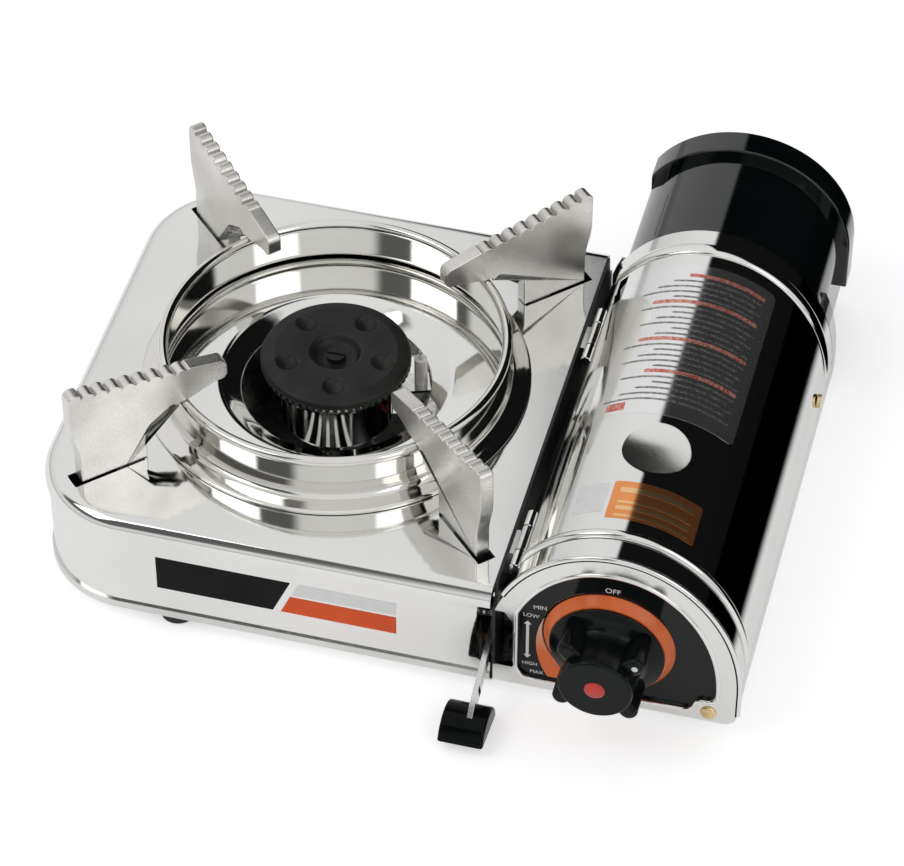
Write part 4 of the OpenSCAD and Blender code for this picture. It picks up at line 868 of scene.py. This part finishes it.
piece("rear_cover_shell", cover_shell(), "sliding_cover", ENAMEL,
      ["rear_cover"], 45)
piece("rear_cover_flange", cover_flange(), "sliding_cover", ENAMEL, (), 45)
piece("rear_cover_end", cover_end(), "sliding_cover", ENAMEL)

# ------------ front controls


KNOB_BACK, KNOB_FACE = -0.6, 22.4                    # Y of its back; its face lies ahead of it
DOT_A, DOT_R, DOT_Y = 40, 17.7, -19.5                # index mark on the first wing
EMBLEM_R, EMBLEM_HIGH = 3.9, 1.1


def on_knob(section, n=96):
    """Profile of (radius, distance ahead of the knob's back) turned about the knob's axis."""
    return turned(section, (KNOB_X, KNOB_BACK, KNOB_Z), "-y", n)


def knob_body():
    """Low skirt and barrel: one eased profile turned about the spindle."""
    line = fillet([[0, 0.2], [20.3, 0.2], [20.3, 2.5], [21.2, 2.8], [21.4, 3.2], [21.1, 3.7],
                   [18.6, 4.9], [15.8, 6.0], [14.4, 7.6], [14.0, 10.2], [13.7, KNOB_FACE],
                   [0, KNOB_FACE]],
                  [0.05, 0.3, 0.3, 0.2, 0.2, 0.3, 0.8, 0.8, 0.8, 1.2, 1.1, 0.05], 6)
    return on_knob(line, 128)


def knob_wing(a):
    """One finger wing: a capsule outline carried forward along the knob's axis and drawn in
    at its front end along a quarter round."""
    w, tip, root, start, end, ease = 3.5, 17.5, 6.0, 5.0, 19.0, 1.8
    cap = chain([[root, -w]], arc(tip, 0, w, -90, 90, 16), [[root, w]])
    q = on_circle(np.linspace(0, 90, 8))
    inset = chain([0, 0, 0], ease * (1 - q[:, 0]))
    ahead = chain([start, 10, end - ease], end - ease + ease * q[:, 1])
    return loft(np.stack([upright(spun(inward(cap, d), a) + [KNOB_X, KNOB_Z], KNOB_BACK - h)
                          for d, h in zip(inset, ahead)]))


def dial_band():
    """Orange ring on the panel: a cone that rises inwards to just behind the knob's skirt."""
    line = fillet([[20.8, 0.02], [24.4, 0.02], [24.4, 0.35], [21.9, 3.6], [21.5, 3.9],
                   [20.8, 3.9]],
                  [0.02, 0.1, 0.2, 0.3, 0.2, 0.1], 5)
    return turned(line, (KNOB_X, 1.0, KNOB_Z), "-y", 160)


def crescent():
    """Printed crescent beside the ring, wider towards the strong flame: between a circle about
    the knob and a larger circle whose middle lies to the right, cut off level at its foot."""
    x, z, r, foot = 6.8, 29.5, 35.2, 12.2
    inner = arc(KNOB_X, KNOB_Z, 25.1, 113, 258, 60)
    start = math.degrees(math.atan2(foot - z, -math.sqrt(r ** 2 - (z - foot) ** 2))) + 360
    end = math.degrees(math.atan2(inner[0, 1] - z, inner[0, 0] - x))
    outer = arc(x, z, r, start, end, 60)[:-1]
    return chain(inner[inner[:, 1] > foot + 0.2], outer)


def lever_handle():
    """Grip of the lever: a D-shaped bar with eased ends across the arm."""
    y, z, chord, high, tilt = -22.7, 2.7, 10.4, 8.6, 8.3
    outline = fillet(on_circle(np.linspace(0, 180, 40)) * [chord, high],
                     chain([1.6], np.full(38, 0.01), [1.6]), 4)
    return slab(spun(spaced(outline, 0.03), -tilt) + [y, z], -56.8, -39.8, 1.0, sideways)


def lever_tongue():
    """End of the lever's flat arm, which narrows into the grip: a plate whose outline of
    (along, across) starts at the pivot and runs down the arm's slope."""
    pivot, slope, half = [16.0, 24.0], 18, 3.2
    line = np.array([(-30.5, half), (-36, half), (-43, 0.6), (-43, -half), (-30.5, -half)])
    return slab(spun(line, slope) + pivot, -47.6, -45.6, 0.08, sideways)


def oval_foot():
    """Rubber foot with a long round plan, which reaches to the front edge of the tray."""
    plan = chain(arc(-167, 15, 7, 0, 180, 24), arc(-168, 8.4, 7, 180, 360, 24))
    return slab(plan, 0.0, UNDER - 0.1, 0.6, level)


piece("knob_body", knob_body(), "control_knob", PLASTIC, ["knob"], 50)
for i, a in enumerate((DOT_A, 132, 222, 312)):
    piece(f"knob_wing_{i + 1}", knob_wing(a), "control_knob", PLASTIC, (), 50)
emblem = on_circle(np.arange(0, 91, 10)) * [EMBLEM_R, EMBLEM_HIGH] + [0, KNOB_FACE]
piece("knob_emblem", on_knob(chain(
    [[0, KNOB_FACE - 0.5], [EMBLEM_R, KNOB_FACE - 0.5]], emblem), 64),
    "control_knob", BADGE, ["knob_badge"])
dot_x, dot_z = on_circle(DOT_A) * DOT_R + [KNOB_X, KNOB_Z]
piece("knob_index_dot", turned([[0, 0.1], [1.15, 0.1], [1.15, 0.25], [0, 0.3]],
                               (dot_x, DOT_Y, dot_z), "-y", 32), "control_knob", WHITE_PRINT)
piece("dial_band", dial_band(), "stove_body", ORANGE, ["dial_ring"], 50)
piece("lever_handle", lever_handle(), "locking_lever", GRIP,
      ["lever_grip"], 50)
piece("lever_tongue", lever_tongue(), "locking_lever", SATIN)
piece("front_left_foot_pad", oval_foot(), "stove_body", RUBBER, ["foot_1"], 50)
screw_at = 36.6, 0, 10.8
piece("brass_dome_screw", turned(fillet(
    [[0, -4], [1.4, -4], [1.4, 0], [3.1, 0.02], [2.9, 0.7], [1.9, 1.3], [0, 1.55]],
    [0.05, 0.1, 0.1, 0.1, 0.5, 0.6, 0.05], 6), screw_at, "-y", 48),
    "stove_body", BRASS, ["dome_screw"], 60)

# ------------ print and labels


PANEL_PRINT_Y, PRINT_T = 0.96, 0.03


def lettering(name, text, x, z, size, lean):
    """Raised print on the panel: filled letters as thin as paint, upright in X and Z, leaning
    by an angle in degrees."""
    curve = bpy.data.curves.new(name, "FONT")
    curve.body = text
    curve.size = size / 1000
    curve.extrude = PRINT_T / 1000
    curve.align_x, curve.align_y = "CENTER", "CENTER"
    tmp = add_object(name + "_line", curve)
    bpy.context.view_layer.update()
    mesh = bpy.data.meshes.new_from_object(tmp)
    bpy.data.objects.remove(tmp)
    co = np.zeros(len(mesh.vertices) * 3, np.float32)
    mesh.vertices.foreach_get("co", co)
    co = co.reshape(-1, 3) * 1000
    pts = upright(spun(co[:, :2], lean) + [x, z]) + [0, PANEL_PRINT_Y, 0]
    pts[:, 1] -= co[:, 2]
    mesh.vertices.foreach_set("co", shift(pts).astype(np.float32).ravel())
    mesh.name = name
    mesh.materials.clear()
    mesh.materials.append(WHITE_PRINT)
    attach(add_object(name, mesh), "stove_body")


def flat_label(outline, y=-0.12, thick=0.1):
    """Upright label, such as those on the front wall: its outline with a paper's thickness."""
    return slab(np.asarray(outline, float), y, y + thick, 0.02, upright)


def lid_label(t0, t1, y0, y1, lift, corner=2.0, low=0.01):
    """Label laid on the lid: the arch raised by a film's thickness between two angles and two
    depths, its corners cut round by narrowing the end columns."""
    t = np.linspace(t0, t1, 40)
    y = np.linspace(y0, y1, 24)
    tt, yy = np.meshgrid(t, y, indexing="ij")
    edge = np.clip(np.minimum(tt - t0, t1 - tt) * 0.9, 0, corner)
    cut = corner - np.sqrt(np.clip(corner ** 2 - (corner - edge) ** 2, 0, None))
    mid = (y0 + y1) / 2
    yy = mid + (yy - mid) * (1 - 2 * cut / (y1 - y0))
    return shell(*(np.stack([x, yy, z], -1) for x, z in (arch(tt, h) for h in (lift, low))))


for text, x, z, size, lean in (("OFF", -0.7, 64.0, 3.3, 0), ("MIN", -27.1, 48.2, 2.9, 6),
                               ("LOW", -30.4, 43.3, 2.6, 0), ("HIGH", -30.6, 17.4, 2.4, 0),
                               ("MAX", -28.0, 13.4, 2.4, 0)):
    lettering("print_" + text.lower(), text, x, z, size, lean)
arrow = [[0, 10], [1.4, 8.2], [0.55, 8.2], [0.55, -8.2], [1.4, -8.2], [0, -10],
         [-1.4, -8.2], [-0.55, -8.2], [-0.55, 8.2], [-1.4, 8.2]]
piece("print_range_arrow", flat_label(np.array(arrow) + [-31.6, 30.3], 0.9, 0.08),
      "stove_body", WHITE_PRINT)

# The crescent's paler upper part is a painted highlight in its finish
piece("print_crescent", flat_label(crescent(), 0.91, 0.07), "stove_body", CRESCENT)

left, right, foot, top, lower_top, upper_foot = -172.8, -80.8, 20.5, 36.7, 29.2, 30.4
for name, outline, ink in (
        ("dark", [[left, foot], [-128, foot], [-121, top], [left, top]], BLACK_PRINT),
        ("orange", [[-125, foot], [right, foot], [right, lower_top], [-121.3, lower_top]],
         ORANGE_PRINT),
        ("pale", [[-120.6, upper_foot], [right, upper_foot], [right, top], [-118, top]],
         WHITE_PRINT)):
    piece("front_label_" + name, flat_label(outline), "stove_body", ink)


FILM_T, INK_T = 0.035, 0.06                          # tops of the films and of the ink on them


def ink_bars(bars):
    """Bars of ink on the lid's films, each between two angles and two depths."""
    return join(*[lid_label(t0, t1, y0, y1, INK_T, 0.3, FILM_T + 0.001) for t0, t1, y0, y1 in bars])


heads, pitch = (5, 11, 18, 23), 3
piece("lid_label_film", lid_label(56, 127, 77, 160, FILM_T), "bay_lid", FILM)
piece("lid_label_lines", ink_bars([
    (61 + 3 * (k % 2), 121 - 7 * k % 23, 84.5 + pitch * k, 85.5 + pitch * k)
    for k in range(24) if k not in heads]), "bay_lid", DARK_PRINT)
piece("lid_label_heads", ink_bars([
    (61, 119 - 9 * k % 31, 84.3 + pitch * k, 86.2 + pitch * k) for k in heads]
    + [(109, 118, 79.2, 83.4)]), "bay_lid", RED_PRINT)
piece("lid_label_orange", lid_label(60.5, 101.5, 22, 41, FILM_T, 0.4), "bay_lid", ORANGE_FILM)
piece("lid_label_orange_lines", ink_bars([
    (64, 98, y, y + high) for y, high in ((35.4, 2.6), (30.0, 1.2), (26.6, 2.0), (23.2, 1.2))]),
    "bay_lid", PALE_FILM)
piece("lid_label_pale", lid_label(103.5, 118, 25, 40, 0.05, 0.6), "bay_lid", WHITE_PRINT)

# ------------ studio

FLOOR_R, FLOOR_SIDES, FLOOR_Z = 9.0, 64, -0.0002     # metres
FLOOR_GLOW, FLOOR_GLOW_IN_GLOSS = 0.5, 0.27
SHADED_X, SHADED_Y = (0.164, 0.184), (-0.075, -0.045)    # metres


def studio_floor():
    """Round pale floor. It glows for the camera and less in mirrors, where its far right part,
    past the two shaded edges, is black as under the dark card."""
    mesh = bpy.data.meshes.new("studio_floor")
    rim = arc(0, 0, FLOOR_R, 0, 360, FLOOR_SIDES)[:-1]
    mesh.from_pydata([(x, y, FLOOR_Z) for x, y in rim], [], [list(range(FLOOR_SIDES))])
    add_object("studio_floor", mesh)
    mat = bpy.data.materials.new("pale_studio_floor")
    mat.use_nodes = True
    tree = mat.node_tree
    plain = wire(tree.nodes["Principled BSDF"], {
        "Base Color": (0.9, 0.9, 0.9, 1), "Roughness": 0.6, "Specular IOR Level": 0.1})
    ray = put(tree, "LightPath").outputs
    glow = put(tree, "Emission", {"Strength": maths(
        tree, "MULTIPLY_ADD", ray["Is Glossy Ray"], FLOOR_GLOW_IN_GLOSS,
        maths(tree, "MULTIPLY", ray["Is Camera Ray"], FLOOR_GLOW))})
    pale = put(tree, "AddShader", {0: plain.outputs[0], 1: glow.outputs[0]})
    place = put(tree, "SeparateXYZ", {0: put(tree, "TexCoord").outputs["Object"]}).outputs
    dim = ray["Is Glossy Ray"]
    for axis, edge in (("X", SHADED_X), ("Y", SHADED_Y)):
        dim = maths(tree, "MULTIPLY", dim, span(tree, place[axis], *edge, way="SMOOTHSTEP"))
    black = put(tree, "Emission", {"Strength": 0.0})
    cloth = put(tree, "MixShader", {0: dim, 1: pale.outputs[0], 2: black.outputs[0]})
    wire(tree.nodes["Material Output"], {"Surface": cloth.outputs[0]})
    mesh.materials.append(mat)


# What gloss sees by direction: bearings from +Y towards +X in degrees, heights as the sine of
# the elevation. Each card fades in over the first pair and out over the second.
CARD = {"bearing": (-14, -10, 73, 79), "height": (-0.06, -0.02, 0.86, 0.94), "dark": 0.993}
SIDE_CARD = {"bearing": (88, 98, 163, 172), "height": (0.35, 0.48, 0.86, 0.93), "dark": 0.86}
HORIZON, HORIZON_DARK = (-0.05, 0.0, 0.05, 0.12), 0.3
TENT_RISES, TENT_LOW, TENT_GAIN = (-0.1, 0.7), 0.82, 0.2
LIGHT_LEVEL, CAMERA_GAIN = 0.65, 0.35


def studio_world():
    """World seen by direction: plain for diffuse light; for the camera white; for gloss a pale
    tent with a dark card to the back right, a dimmer one to the front left and a dark line
    along the horizon."""
    world = bpy.data.worlds.new("studio")
    bpy.context.scene.world = world
    world.use_nodes = True
    tree = world.node_tree
    tree.nodes.clear()
    x, y, z = put(tree, "SeparateXYZ", {0: put(tree, "TexCoord").outputs["Generated"]}).outputs

    def calc(operation, *values):
        return maths(tree, operation, *values)

    def within(value, rise_from, rise_to, fall_from, fall_to):
        rise, fall = (span(tree, value, *ends, way="SMOOTHSTEP")
                      for ends in ((rise_from, rise_to), (fall_from, fall_to)))
        return calc("MULTIPLY", rise, calc("SUBTRACT", 1, fall))

    def card(bearing, size):
        return calc("MULTIPLY", within(bearing, *np.radians(size["bearing"]).tolist()),
                    within(z, *size["height"]))

    bearing = calc("ARCTAN2", x, y)
    side = calc("MULTIPLY", card(calc("MULTIPLY", bearing, -1), SIDE_CARD), SIDE_CARD["dark"])
    line = calc("MULTIPLY", within(z, *HORIZON), HORIZON_DARK)
    dark = calc("MAXIMUM", calc("MAXIMUM", card(bearing, CARD), line), side)
    tent = calc("MULTIPLY_ADD", span(tree, z, *TENT_RISES, way="SMOOTHSTEP"), TENT_GAIN, TENT_LOW)
    gloss = calc("MULTIPLY", tent, calc("SUBTRACT", 1, calc("MULTIPLY", dark, CARD["dark"])))
    ray = put(tree, "LightPath").outputs
    plain = calc("MULTIPLY_ADD", ray["Is Camera Ray"], CAMERA_GAIN, LIGHT_LEVEL)
    level = calc("ADD", calc("MULTIPLY", gloss, ray["Is Glossy Ray"]),
                 calc("MULTIPLY", plain, calc("SUBTRACT", 1, ray["Is Glossy Ray"])))
    back = put(tree, "Background", {"Strength": level})
    put(tree, "OutputWorld", {0: back.outputs[0]})


studio_floor()
studio_world()


def softbox(name, place, size, power):
    """Rectangular area lamp at a place, facing the middle of the stove."""
    lamp = bpy.data.lights.new(name, "AREA")
    lamp.shape = "RECTANGLE"
    lamp.size, lamp.size_y = size
    lamp.energy = power
    aim(add_object(name, lamp), place, Vector((0, 0, 0.03)) - Vector(place))


softbox("key_softbox", (-1.1, -0.7, 1.7), (1.0, 1.0), 6.0)
softbox("fill_softbox", (1.3, -0.9, 1.1), (0.8, 1.1), 2.5)

# ------------ camera: a long lens from the front right, above the stove

lens = bpy.data.cameras.new("front_right_lens")
lens.lens = 156.2
lens.sensor_width = 36.0
lens.clip_start, lens.clip_end = 0.05, 40.0
lens.shift_x, lens.shift_y = 0.0011, 0.0004
bpy.context.scene.camera = add_object("front_right_camera", lens)
aim(bpy.context.scene.camera, (0.2725, -1.0346, 1.0892), (-0.1797, 0.6850, -0.7060))
bpy.context.scene.view_settings.view_transform = "Standard"
